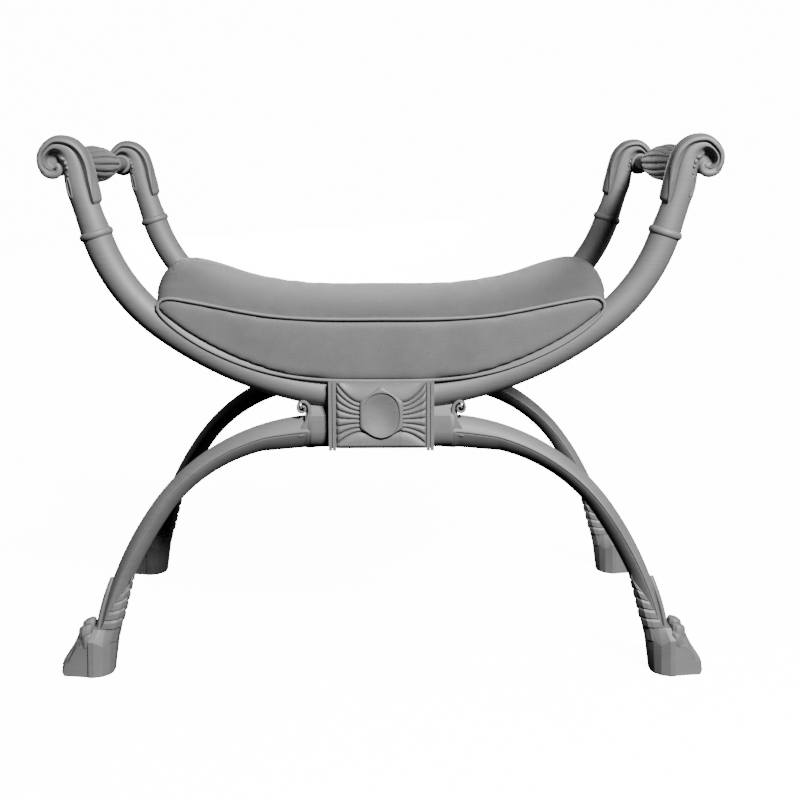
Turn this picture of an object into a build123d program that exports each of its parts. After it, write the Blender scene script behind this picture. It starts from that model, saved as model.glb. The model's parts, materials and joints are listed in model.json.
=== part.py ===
from build123d import *
import os
from math import acos, cos, degrees, radians, sin, sqrt

# Rigid curule stool with scroll arms, paw feet and a loose saddle cushion.
# Millimetres.  +Z up, origin on the floor under the middle of the stool, X across the
# sitter, Y from front (negative) to rear (positive).  Every corner piece is drawn once,
# for the front right-hand corner, and mirrored.

# ---------------------------------------------------------------- driving dimensions
frame_spacing = 463.0        # centre plane of the front frame to that of the rear frame
arch_top = 338.8             # top of the legs' arch beside the block, above the floor

rail_dia = 38.0              # round U-shaped bar
rail_above_arch = 23.4       # its lowest centre line, above the arch
bottom_radius = 456.5        # wide arc under the seat
bottom_angle = 36.8          # half of that arc
side_radius = 223.7          # tighter arc up to the arm
arm_lean = 17.3              # arm, away from upright

collar_dia = 43.0
collar_length = 11.0
collar_round = 5.2           # rounding of its two edges

shaft_dia = 37.4             # arm above the collar
shaft_top_dia = 34.0         # arm under the leaf
shaft_taper_length = 43.0
eye_out = 47.0               # axis of scroll and grip bar, outward from the foot of the arm
eye_up = 85.2                # and above it
head_depth = 38.0            # scroll, across the frame
head_edge_round = 5.0
rim_bead_dia = 5.0           # bead along the leaf's rim and round the volute
strand_recess = 2.0          # the smooth strand lies this far below the leaf's rim
hollow_depth = 9.0           # hollow round the eye of the scroll, on the outer face
eye_dia = 9.5
cup_dia = 30.0               # cup round the grip bar's neck, on the inner face
cup_proud = 3.0
dowel_dia = 12.0
dowel_length = 44.0

grip_dia = 52.0              # grip bar at its fullest
grip_neck_dia = 18.8
grip_bulb_length = 300.0
grip_ribs = 14
grip_groove_dia = 5.0
grip_tenon_dia = 11.0
grip_tenon_length = 12.0

block_width = 132.0
block_depth = 50.0
block_over_rail = 1.8        # block's top above the rail's
block_below_arch = 40.3
block_hollow = 2.4           # rise of the hollowed underside
edge_strip_width = 4.0       # two upright strips at each side
edge_strip_gap = 1.0
edge_strip_proud = 2.0
edge_strip_drop = 2.5

tablet_thickness = 3.0
tablet_margin = 1.0
reed_count = 7
reed_dia = 6.0
medallion_width = 52.0
medallion_height = 67.6
medallion_side = 33.8        # length of its upright sides
medallion_thickness = 5.0
medallion_border = 4.5
medallion_dish = 3.0
medallion_chamfer = 1.0
medallion_above_middle = 2.2 # its centre, above the tablet's
reed_bend_out = 0.62         # a reed bends this share of the way out from the medallion
reed_bend_up = 0.38          # and has then risen by this share

upper_radius_1 = 276.8       # upper side of the leg: two tangent arcs
upper_radius_2 = 444.5
upper_turn = 53.9            # from upright, where the second arc takes over
lower_radius_1 = 212.2       # underside of the leg: the same
lower_radius_2 = 576.4
lower_turn = 56.1
lower_start = 14.2           # the underside is nearly flat up to here
lower_start_out = 33.1       # centre of the underside's first arc, out from the block
leg_root_depth = 42.9
leg_depth = 34.0
leg_edge_round = 7.0
leg_end_height = 45.0        # the leg stops here, inside the foot
leg_tenon_length = 26.0
leg_tenon_height = 26.0
leg_tenon_depth = 18.0
leg_tenon_above_middle = 3.0
leg_groove_width = 1.4       # groove under the strap that runs down the leg
leg_groove_depth = 1.6
groove_points = [(31.2, -18.6), (116.0, -48.6), (216.0, -121.5), (262.9, -197.9)]  # from block and arch
groove_end_in = 8.0          # its lower end, in from the leg's upper side
groove_end_up = 15.5         # and above the end of the leg
root_length = 26.0           # taller end of the leg against the block
curl_dia = 16.0
curl_out = 33.0              # middle of the curl, out from the block
curl_above_arch = 5.7
curl_eye_dia = 5.0
curl_ring_dia = 10.5         # ring-shaped hollow round the curl's eye
curl_ring_depth = 1.5

foot_depth = 66.0            # widest, across the frame
toe_depth = 48.0
ankle_depth = 44.0
ridge_count = 6
ridge_pitch = 11.5
ridge_low = 53.0
ridge_groove_width = 1.4
ridge_groove_depth = 1.6

stretcher_dia = 30.0
stretcher_waist_dia = 18.0
stretcher_tenon_dia = 16.0
stretcher_tenon_length = 16.0
stretcher_neck = 40.0        # its waist, in from each end

slat_thickness = 10.0
slat_width = 34.0
slat_pitch_angle = 7.0       # along the wide arc
slat_first_angle = 11.5
slats_each_side = 4
middle_slat_width = 60.0
slat_below_rail_top = 7.0
slat_end_short = 7.0         # slat ends stop this far short of the rail's centre plane

cushion_lap = 1.0            # the cushion's faces stand this far outside the rails
cushion_clearance = 0.5      # to everything that the cushion rests on
cushion_skirt = 7.0          # its lower edge lies this far inside the rail's centre line
cushion_low_share = 0.9      # the lower arc reaches this share of the half width
# Half outlines of the cushion: half width and rise of the tip, place and rise of the shoulder
# and of the knee, and rise of the top's middle.  Rises are above the rail's lowest centre line.
cushion_face = (277.5, 115.8, 244.5, 123.0, 146.5, 104.2, 98.2)
cushion_middle = (303.2, 138.6, 274.0, 161.5, 161.0, 126.0, 117.4)
cover_thickness = 2.0

# ---------------------------------------------------------------- derived values
frame_y = frame_spacing / 2
rail_r = rail_dia / 2
rail_low = arch_top + rail_above_arch
arc_centre_z = rail_low + bottom_radius
half_block = block_width / 2
block_top = rail_low + rail_r + block_over_rail
block_bottom = arch_top - block_below_arch
front_frame = Plane(origin=(0, -frame_y, 0), x_dir=(1, 0, 0), z_dir=(0, -1, 0))
cross_plane = Plane(origin=(0, 0, 0), x_dir=(0, 1, 0), z_dir=(1, 0, 0))

radius_step = bottom_radius - side_radius
joint_angle = 90 - arm_lean
joint_x = radius_step * sin(radians(bottom_angle)) + side_radius * sin(radians(joint_angle))
joint_z = arc_centre_z - radius_step * cos(radians(bottom_angle)) - side_radius * cos(radians(joint_angle))
lean = (sin(radians(arm_lean)), 0, cos(radians(arm_lean)))
joint_plane = Plane(origin=(joint_x, -frame_y, joint_z), x_dir=(0, -1, 0), z_dir=lean)
eye_x = joint_x + eye_out
eye_z = joint_z + eye_up


def save(part, node):
    """Label a finished piece and write it."""
    part.label = node
    export_step(part, f"parts/{node}.step")


def corner(master, node, left, rear):
    """Write the front right-hand piece `master` as the piece of another corner."""
    with BuildPart() as copy:
        add(master)
        if left:
            mirror(about=Plane.YZ, mode=Mode.REPLACE)
        if rear:
            mirror(about=Plane.XZ, mode=Mode.REPLACE)
    save(copy.part, node)


def four_corners(master, name):
    """Write a corner piece four times."""
    for rear, row in ((False, "front"), (True, "rear")):
        for left, hand in ((True, "left"), (False, "right")):
            corner(master, f"{row}_{hand}_{name}", left, rear)


def front_and_rear(master, name):
    """Write a piece of the front frame and its twin in the rear frame."""
    corner(master, f"front_{name}", False, False)
    corner(master, f"rear_{name}", False, True)


def rail_solid(radius):
    """The U-shaped bar of the front frame, with any bar radius."""
    rise = joint_angle - bottom_angle
    with BuildPart() as bar:
        with BuildLine(front_frame) as line:
            bottom = CenterArc((0, arc_centre_z), bottom_radius, 270 - bottom_angle, 2 * bottom_angle)
            JernArc(bottom @ 1, bottom % 1, side_radius, rise)
            JernArc(bottom @ 0, (bottom % 0) * -1, side_radius, -rise)
        path = line.wires()[0]
        with BuildSketch(Plane(origin=path @ 0, z_dir=path % 0)):
            Circle(radius)
        sweep(path=path)
    return bar.part


def slat_plane(angle):
    """Plane on a slat's upper face: x along the slat's width, z away from the seat's arc centre."""
    radius = bottom_radius - rail_r + slat_below_rail_top
    turn = radians(angle)
    return Plane(
        origin=(radius * sin(turn), 0, arc_centre_z - radius * cos(turn)),
        x_dir=(cos(turn), 0, sin(turn)),
        z_dir=(sin(turn), 0, -cos(turn)),
    )


os.makedirs("parts", exist_ok=True)

# ---------------------------------------------------------------- seat slats
slat_length = frame_spacing - 2 * slat_end_short
slat_angles = [0.0]
for step in range(slats_each_side):
    angle = slat_first_angle + step * slat_pitch_angle
    slat_angles += [-angle, angle]
slat_parts = []
for angle in sorted(slat_angles):
    with BuildPart() as slat:
        with BuildSketch(slat_plane(angle)):
            Rectangle(slat_width if angle else middle_slat_width, slat_length)
        extrude(amount=slat_thickness)
    slat_parts.append(slat.part)
for number, part in enumerate(slat_parts, start=1):
    save(part, f"seat_slat_{number}")

# ---------------------------------------------------------------- dowels inside the collars
with BuildPart() as arm_dowels:
    with BuildSketch(joint_plane.offset(-dowel_length / 2)):
        Circle(dowel_dia / 2)
    extrude(amount=dowel_length)
    mirror(about=Plane.YZ)
    mirror(about=Plane.XZ)
save(arm_dowels.part, "arm_dowels")

# ---------------------------------------------------------------- rails
with BuildPart() as rail:
    add(rail_solid(rail_r))
    for part in slat_parts:
        add(part, mode=Mode.SUBTRACT)
    add(arm_dowels.part, mode=Mode.SUBTRACT)
front_and_rear(rail.part, "rail")

# ---------------------------------------------------------------- scroll arms
# Outlines of the head, outward and upward from the middle of the joint.
head_outline = [
    (-8.0, 43.2), (-7.5, 54.8), (-3.1, 73.3), (3.8, 97.1), (17.0, 115.2), (37.0, 122.3),
    (58.0, 116.0), (71.8, 93.9), (67.2, 77.6), (51.0, 69.5), (40.0, 74.7),
]
neck_outer = [(38.8, 70.2), (35.4, 54.2), (31.0, 40.6)]
head_foot = (-3.0, 34.2)
strand_outline = [(4.3, 48.2), (15.7, 71.1), (22.6, 95.0), (37.4, 109.0), (55.5, 106.2), (64.0, 91.7)]
strand_foot = (23.0, 46.2)
hollow_outline = [(43.0, 90.2), (49.0, 95.7), (56.5, 91.2), (56.0, 81.2), (49.0, 77.7)]
bead_line = strand_outline[:-1] + [(64.5, 92.5), (62.0, 81.0), (52.5, 75.2), (44.5, 79.0)]
eye = (eye_out, eye_up)
arm_frame = Plane(origin=(joint_x, -frame_y, joint_z), x_dir=(1, 0, 0), z_dir=(0, -1, 0))
with BuildPart() as arm:
    with BuildSketch(arm_frame):
        with BuildLine():
            Spline(*head_outline)
            Polyline(head_outline[-1], *neck_outer, head_foot, head_outline[0])
        make_face()
    extrude(amount=head_depth / 2, both=True)
    for side in (1, -1):
        face = arm.faces().sort_by(Axis.Y)[0 if side > 0 else -1]
        fillet(face.edges().sort_by(SortBy.LENGTH)[-1], head_edge_round)
    for side in (1, -1):
        with BuildSketch(arm_frame.offset(side * head_depth / 2)):
            with BuildLine():
                Spline(*strand_outline)
                Polyline(strand_outline[-1], eye, *neck_outer[:2], strand_foot, strand_outline[0])
            make_face()
        extrude(amount=-side * strand_recess, mode=Mode.SUBTRACT)
        with BuildLine(arm_frame.offset(side * head_depth / 2)):
            run = Spline(*bead_line)
        with BuildSketch(Plane(origin=run @ 0, x_dir=(0, 1, 0), z_dir=run % 0)):
            Circle(rim_bead_dia / 2)
        sweep(path=run)
        with Locations(run @ 0, run @ 1):
            Sphere(rim_bead_dia / 2)
    with BuildSketch(arm_frame.offset(head_depth / 2)):
        with BuildLine():
            Spline(*hollow_outline, periodic=True)
        make_face()
        with Locations(eye):
            Circle(eye_dia / 2, mode=Mode.SUBTRACT)
    extrude(amount=-hollow_depth, mode=Mode.SUBTRACT)
    with BuildSketch(arm_frame.offset(-head_depth / 2)):
        with Locations(eye):
            Circle(cup_dia / 2)
    extrude(amount=-cup_proud)
    with BuildSketch(arm_frame.offset(-head_depth / 2)):
        with Locations(eye):
            Circle(grip_neck_dia / 2)
    extrude(amount=-head_depth, mode=Mode.SUBTRACT)
    with BuildSketch(arm_frame.offset(-head_depth / 2)):
        with Locations(eye):
            Circle(grip_tenon_dia / 2)
    extrude(amount=grip_tenon_length, mode=Mode.SUBTRACT)
    with BuildSketch(joint_plane):
        Circle(rail_r)
    extrude(amount=collar_length / 2)
    with BuildSketch(joint_plane.offset(collar_length / 2)):
        Circle(shaft_dia / 2)
    with BuildSketch(joint_plane.offset(shaft_taper_length)):
        Circle(shaft_top_dia / 2)
    loft()
    add(arm_dowels.part, mode=Mode.SUBTRACT)
four_corners(arm.part, "scroll_arm")

# ---------------------------------------------------------------- collars
with BuildPart() as collar:
    with BuildSketch(joint_plane.offset(-collar_length / 2)):
        Circle(collar_dia / 2)
    extrude(amount=collar_length)
    fillet(collar.edges().filter_by(GeomType.CIRCLE), collar_round)
    for part in (rail.part, arm.part, arm_dowels.part):
        add(part, mode=Mode.SUBTRACT)
four_corners(collar.part, "collar")

# ---------------------------------------------------------------- grip bars
grip_plane = Plane(origin=(eye_x, 0, eye_z), x_dir=(0, 1, 0), z_dir=(1, 0, 0))
grip_axis = Axis((eye_x, 0, eye_z), (0, 1, 0))
grip_end = frame_y - head_depth / 2
bulb_end = grip_bulb_length / 2
neck_r = grip_neck_dia / 2
tenon_r = grip_tenon_dia / 2
tenon_end = grip_end + grip_tenon_length
groove_lift = grip_groove_dia / 5
with BuildPart() as grip:
    with BuildSketch(grip_plane):
        with BuildLine():
            bulb = ThreePointArc((-bulb_end, neck_r), (0, grip_dia / 2), (bulb_end, neck_r))
            Polyline(
                bulb @ 1, (grip_end, neck_r), (grip_end, tenon_r), (tenon_end, tenon_r), (tenon_end, 0),
                (-tenon_end, 0), (-tenon_end, tenon_r), (-grip_end, tenon_r), (-grip_end, neck_r), bulb @ 0,
            )
        make_face()
    revolve(axis=grip_axis)
with BuildPart() as groove:
    with BuildLine(grip_plane):
        ends = neck_r + groove_lift
        run = ThreePointArc((-bulb_end, ends), (0, grip_dia / 2 + groove_lift), (bulb_end, ends))
    with BuildSketch(Plane(origin=run @ 0, z_dir=run % 0)):
        Circle(grip_groove_dia / 2)
    sweep()
with BuildPart() as ribbed_grip:
    add(grip.part)
    for rib in range(grip_ribs):
        add(groove.part.rotate(grip_axis, 360 / grip_ribs * (rib + 0.5)), mode=Mode.SUBTRACT)
corner(ribbed_grip.part, "right_grip_bar", False, False)
corner(ribbed_grip.part, "left_grip_bar", True, False)

# ---------------------------------------------------------------- legs
# The leg's frame stands on the floor at the side of the block.
leg_frame = Plane(origin=(half_block, -frame_y, 0), x_dir=(1, 0, 0), z_dir=(0, -1, 0))
root_top = rail_low - rail_r + leg_edge_round
upper_centre_z = arch_top - upper_radius_1
lower_centre_z = arch_top - leg_root_depth - lower_radius_1
upper_centre_2 = (
    (upper_radius_1 - upper_radius_2) * sin(radians(upper_turn)),
    upper_centre_z + (upper_radius_1 - upper_radius_2) * cos(radians(upper_turn)),
)
lower_centre_2 = (
    lower_start_out + (lower_radius_1 - lower_radius_2) * sin(radians(lower_turn)),
    lower_centre_z + (lower_radius_1 - lower_radius_2) * cos(radians(lower_turn)),
)
upper_end_turn = degrees(acos((leg_end_height - upper_centre_2[1]) / upper_radius_2))
lower_end_turn = degrees(acos((leg_end_height - lower_centre_2[1]) / lower_radius_2))
leg_end_out = upper_centre_2[0] + upper_radius_2 * sin(radians(upper_end_turn))
groove_start, groove_bend, groove_turn, groove_low = [(x, arch_top + z) for x, z in groove_points]
groove_end = (leg_end_out - groove_end_in, leg_end_height + groove_end_up)
tenon_z = arch_top - leg_root_depth / 2 + leg_tenon_above_middle
with BuildPart() as leg:
    with BuildSketch(leg_frame):
        with BuildLine():
            up_1 = CenterArc((0, upper_centre_z), upper_radius_1, 90, -upper_turn)
            up_2 = JernArc(up_1 @ 1, up_1 % 1, upper_radius_2, upper_turn - upper_end_turn)
            low_1 = CenterArc(
                (lower_start_out, lower_centre_z), lower_radius_1, 90 - lower_start, lower_start - lower_turn
            )
            low_2 = JernArc(low_1 @ 1, low_1 % 1, lower_radius_2, lower_turn - lower_end_turn)
            Line(up_2 @ 1, low_2 @ 1)
            Polyline(low_1 @ 0, (0, arch_top - leg_root_depth), up_1 @ 0)
        make_face()
    extrude(amount=leg_depth / 2, both=True)
    long_edges = leg.edges().filter_by(GeomType.CIRCLE).filter_by(lambda edge: edge.length > leg_depth)
    fillet(long_edges, leg_edge_round)
    with BuildSketch(leg_frame):
        with BuildLine():
            Polyline(
                (0, arch_top - leg_root_depth / 2), (0, root_top), (root_length, root_top),
                (root_length + curl_dia / 4, arch_top - leg_root_depth / 4),
                (root_length, arch_top - leg_root_depth / 2), close=True,
            )
        make_face()
    extrude(amount=leg_depth / 2 - leg_groove_depth, both=True)
    with BuildSketch(leg_frame):
        with Locations((curl_out, arch_top + curl_above_arch)):
            Circle(curl_dia / 2)
    extrude(amount=leg_depth / 2, both=True)
    for side in (1, -1):
        with BuildSketch(leg_frame.offset(side * leg_depth / 2)):
            with Locations((curl_out, arch_top + curl_above_arch)):
                Circle(curl_ring_dia / 2)
                Circle(curl_eye_dia / 2, mode=Mode.SUBTRACT)
        extrude(amount=-side * curl_ring_depth, mode=Mode.SUBTRACT)
    add(rail_solid(rail_r), mode=Mode.SUBTRACT)
    with BuildSketch(Plane(origin=(half_block, -frame_y, tenon_z), x_dir=(0, 1, 0), z_dir=(-1, 0, 0))):
        Rectangle(leg_tenon_depth, leg_tenon_height)
    extrude(amount=leg_tenon_length)
    for side in (1, -1):
        with BuildSketch(leg_frame.offset(side * leg_depth / 2)):
            with BuildLine():
                ThreePointArc(groove_start, groove_bend, groove_turn)
                ThreePointArc(groove_turn, groove_low, groove_end)
                offset(amount=leg_groove_width / 2, side=Side.BOTH)
            make_face()
        extrude(amount=-side * leg_groove_depth, mode=Mode.SUBTRACT)
four_corners(leg.part, "leg")

# ---------------------------------------------------------------- paw feet
# Outlines outward from the point where the leg's upper side ends, and up from the floor.
foot_x = half_block + leg_end_out
foot_frame = Plane(origin=(foot_x, -frame_y, 0), x_dir=(1, 0, 0), z_dir=(0, -1, 0))
floor_plan = Plane(origin=(foot_x, -frame_y, 0), x_dir=(1, 0, 0), z_dir=(0, 0, 1))
paw_side = [
    (-24.0, 0.0), (46.5, 0.0), (44.3, 10.7), (34.8, 16.8), (23.6, 50.0), (14.5, 60.0), (2.5, 66.0),
    (-28.5, 66.0), (-28.5, 26.6),
]
half_foot = foot_depth / 2
half_toe = toe_depth / 2
paw_plan = [
    (-24.0, 0.3 * half_foot), (-16.6, 0.6 * half_foot), (-9.3, 0.86 * half_foot), (1.8, half_foot),
    (6.5, 0.91 * half_foot), (46.5, half_toe),
]
ankle_side = [
    (-28.5, 26.6), (6.5, 30.0), (4.5, 60.0), (-3.1, 68.9), (-7.6, 84.6), (-16.0, 125.4), (-19.9, 125.4),
    (-29.5, 100.0), (-49.5, 123.0), (-53.3, 123.0), (-33.5, 56.0),
]
notch_side = [(3.0, 44.8), (-17.0, 125.6), (-13.5, 140.0), (-59.5, 140.0), (-50.0, 122.0), (-31.5, 100.0)]
ridge_start = (-32.5, -2.8)      # where the lowest ridge crosses, and its drift inward per ridge
ridge_tilt = (12.0, 6.0)         # tilt of the lowest ridge, and the extra tilt per ridge
knuckles = [(0.0, 9.0, 57.0, 6.5), (15.0, 8.5, 50.0, 11.5), (27.0, 6.0, 40.0, 12.5)]
with BuildPart() as ankle_core:
    with BuildSketch(foot_frame):
        with BuildLine():
            Polyline(*ankle_side, close=True)
        make_face()
        offset(amount=-ridge_groove_depth, kind=Kind.INTERSECTION)
    extrude(amount=ankle_depth / 2 - ridge_groove_depth, both=True)
with BuildPart() as ridge_grooves:
    for ridge in range(ridge_count):
        middle = (foot_x + ridge_start[0] + ridge * ridge_start[1], -frame_y, ridge_low + ridge * ridge_pitch)
        tilt = -ridge_tilt[0] - ridge * ridge_tilt[1]
        with BuildSketch(Plane(origin=middle, x_dir=(1, 0, 0), z_dir=(0, 0, 1)).rotated((0, tilt, 0))):
            Rectangle(foot_depth, foot_depth)
        extrude(amount=ridge_groove_width)
    add(ankle_core.part, mode=Mode.SUBTRACT)
with BuildPart() as foot:
    with BuildSketch(foot_frame):
        with BuildLine():
            Polyline(*paw_side, close=True)
        make_face()
    extrude(amount=half_foot, both=True)
    with BuildSketch(floor_plan):
        with BuildLine():
            Polyline(*[(x, -y) for x, y in paw_plan], *reversed(paw_plan), close=True)
        make_face()
    extrude(amount=2 * foot_depth, mode=Mode.INTERSECT)
    with BuildSketch(foot_frame):
        with BuildLine():
            Polyline(*ankle_side, close=True)
        make_face()
    extrude(amount=ankle_depth / 2, both=True)
    add(ridge_grooves.part, mode=Mode.SUBTRACT)
    for across, radius, height, out in knuckles:
        with Locations(*[(foot_x + out, -frame_y + side * across, height) for side in (1, -1)]):
            Sphere(radius)
    for side in (1, -1):
        with BuildSketch(foot_frame.offset(side * half_foot)):
            with BuildLine():
                Polyline(*notch_side, close=True)
            make_face()
        extrude(amount=-side * (half_foot - leg_depth / 2), mode=Mode.SUBTRACT)
    add(leg.part, mode=Mode.SUBTRACT)
four_corners(foot.part, "paw_foot")

# ---------------------------------------------------------------- stretcher
stretcher_z = tenon_z
stretcher_end = frame_y - block_depth / 2
bead_r = stretcher_dia / 2
waist_r = stretcher_waist_dia / 2
swell_r = (bead_r + waist_r) / 2
tenon_r = stretcher_tenon_dia / 2
tenon_end = stretcher_end + stretcher_tenon_length
with BuildPart() as stretcher:
    with BuildSketch(Plane(origin=(0, 0, stretcher_z), x_dir=(0, 1, 0), z_dir=(1, 0, 0))):
        with BuildLine():
            turned = Spline(
                (0, bead_r), (bead_r, waist_r), (stretcher_end / 2, swell_r),
                (stretcher_end - stretcher_neck, waist_r), (stretcher_end - bead_r, bead_r),
            )
            Polyline(
                turned @ 1, (stretcher_end, bead_r), (stretcher_end, tenon_r), (tenon_end, tenon_r),
                (tenon_end, 0), (0, 0), turned @ 0,
            )
        make_face()
    revolve(axis=Axis((0, 0, stretcher_z), (0, 1, 0)))
    mirror(about=Plane.XZ)
save(stretcher.part, "centre_stretcher")

# ---------------------------------------------------------------- blocks
with BuildPart() as block:
    with BuildSketch(front_frame):
        with BuildLine():
            underside = ThreePointArc(
                (-half_block, block_bottom), (0, block_bottom + block_hollow), (half_block, block_bottom)
            )
            Polyline(underside @ 1, (half_block, block_top), (-half_block, block_top), underside @ 0)
        make_face()
    extrude(amount=block_depth / 2, both=True)
    strip_height = block_top - block_bottom + edge_strip_drop
    for strip in range(2):
        middle = half_block - (strip + 0.5) * edge_strip_width - strip * edge_strip_gap
        with BuildSketch(front_frame):
            with Locations(*[(hand * middle, block_top - strip_height / 2) for hand in (1, -1)]):
                Rectangle(edge_strip_width, strip_height)
        extrude(amount=block_depth / 2 + edge_strip_proud, both=True)
    add(rail.part, mode=Mode.SUBTRACT)
    add(leg.part, mode=Mode.SUBTRACT)
    add(mirror(leg.part, about=Plane.YZ, mode=Mode.PRIVATE), mode=Mode.SUBTRACT)
    add(stretcher.part, mode=Mode.SUBTRACT)
    for part in slat_parts:
        add(part, mode=Mode.SUBTRACT)
front_and_rear(block.part, "block")

# ---------------------------------------------------------------- medallions and carved tablets
tablet_half = half_block - 2 * edge_strip_width - edge_strip_gap - tablet_margin
tablet_low = block_bottom + block_hollow + tablet_margin
tablet_high = block_top - tablet_margin
tablet_mid = (tablet_low + tablet_high) / 2
medallion_z = tablet_mid + medallion_above_middle
side_half = medallion_side / 2
medallion_half = medallion_width / 2
face_plane = Plane(origin=(0, -frame_y - block_depth / 2, medallion_z), x_dir=(1, 0, 0), z_dir=(0, -1, 0))
medallion_points = [
    (-medallion_half, -side_half), (-medallion_half, side_half), (0, medallion_height / 2),
    (medallion_half, side_half), (medallion_half, -side_half), (0, -medallion_height / 2),
]
with BuildPart() as medallion:
    with BuildSketch(face_plane):
        with BuildLine():
            Polyline(*medallion_points, close=True)
        make_face()
    extrude(amount=medallion_thickness)
    chamfer(medallion.faces().sort_by(Axis.Y)[0].edges(), medallion_chamfer)
    with BuildSketch(face_plane.offset(medallion_thickness)):
        with BuildLine():
            Polyline(*medallion_points, close=True)
        make_face()
        offset(amount=-medallion_border)
    with BuildSketch(face_plane.offset(medallion_thickness - medallion_dish)):
        Circle(medallion_dish / 2)
    loft(mode=Mode.SUBTRACT)
front_and_rear(medallion.part, "medallion")

reed_r = reed_dia / 2
reed_plane = face_plane.offset(tablet_thickness / 2)
tip_x = tablet_half - reed_r
tip_rise = (tablet_high - tablet_low - reed_dia) / (reed_count - 1)
root_rise = (medallion_side - reed_dia) / (reed_count - 1)
with BuildPart() as tablet:
    with BuildSketch(face_plane):
        with Locations((0, tablet_mid - medallion_z)):
            Rectangle(2 * tablet_half, tablet_high - tablet_low)
    extrude(amount=tablet_thickness / 2)
    for number in range(reed_count):
        step = number - (reed_count - 1) / 2
        tip_z = tablet_mid - medallion_z + step * tip_rise
        for hand in (1, -1):
            root = (hand * medallion_half, step * root_rise)
            bend = (
                hand * (medallion_half + reed_bend_out * (tip_x - medallion_half)),
                root[1] + reed_bend_up * (tip_z - root[1]),
            )
            with BuildLine(reed_plane):
                run = Spline(root, bend, (hand * tip_x, tip_z))
            with BuildSketch(Plane(origin=run @ 0, x_dir=(0, 1, 0), z_dir=run % 0)):
                Circle(reed_r)
            sweep(path=run)
    with BuildSketch(face_plane):
        Rectangle(2 * block_width, 2 * block_width)
    extrude(amount=-block_depth, mode=Mode.SUBTRACT)
    add(medallion.part, mode=Mode.SUBTRACT)
front_and_rear(tablet.part, "tablet")

# ---------------------------------------------------------------- cushion
half_cushion_depth = frame_y + rail_r + cushion_lap


def cushion_solid(inset):
    """The saddle cushion, `inset` smaller all round, let down over rails, blocks and slats."""
    gap = cushion_clearance + inset
    low_r = bottom_radius - cushion_skirt - inset
    seat_r = bottom_radius - rail_r + slat_below_rail_top - gap
    with BuildPart() as pillow:
        end = half_cushion_depth - inset
        for y, outline in ((-end, cushion_face), (0, cushion_middle), (end, cushion_face)):
            half, tip, shoulder_x, shoulder, knee_x, knee, middle_rise = outline
            half_inside = half - inset
            shoulder_inside = shoulder_x - inset
            low_x = cushion_low_share * half_inside
            low_z = arc_centre_z - sqrt(low_r ** 2 - low_x ** 2)
            top_line = [
                (-shoulder_inside, rail_low + shoulder - inset), (-knee_x, rail_low + knee - inset),
                (0, rail_low + middle_rise - inset),
                (knee_x, rail_low + knee - inset), (shoulder_inside, rail_low + shoulder - inset),
            ]
            tip_z = rail_low + tip
            with BuildSketch(Plane(origin=(0, y, 0), x_dir=(1, 0, 0), z_dir=(0, -1, 0))):
                with BuildLine():
                    top = Spline(*top_line)
                    low = ThreePointArc((-low_x, low_z), (0, arc_centre_z - low_r), (low_x, low_z))
                    Spline(top @ 1, (half_inside, tip_z), low @ 1, tangents=(top % 1, (low % 1) * -1))
                    Spline(top @ 0, (-half_inside, tip_z), low @ 0, tangents=((top % 0) * -1, low % 0))
                make_face()
        loft()
        with BuildSketch(Plane(origin=(0, 0, arc_centre_z), x_dir=(1, 0, 0), z_dir=(0, -1, 0))):
            Circle(bottom_radius + rail_r)
            Circle(seat_r, mode=Mode.SUBTRACT)
        extrude(amount=frame_y, both=True, mode=Mode.SUBTRACT)
        front_rest = rail_solid(rail_r + gap)
        add(front_rest, mode=Mode.SUBTRACT)
        add(mirror(front_rest, about=Plane.XZ, mode=Mode.PRIVATE), mode=Mode.SUBTRACT)
        for side in (1, -1):
            with BuildSketch(Plane(origin=(0, side * frame_y, 0), x_dir=(1, 0, 0), z_dir=(0, -1, 0))):
                Rectangle(block_width + 2 * gap, 2 * (block_top + gap))
            extrude(amount=block_depth / 2 + edge_strip_proud + gap, both=True, mode=Mode.SUBTRACT)
    return pillow.part


with BuildPart() as cushion_pad:
    add(cushion_solid(cover_thickness))
save(cushion_pad.part, "cushion_pad")

with BuildPart() as cushion_cover:
    add(cushion_solid(0.0))
    add(cushion_pad.part, mode=Mode.SUBTRACT)
save(cushion_cover.part, "cushion_cover")
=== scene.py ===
import json
import logging
import math
from dataclasses import dataclass
from enum import Enum
from typing import Any, Iterable, Sequence

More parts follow.
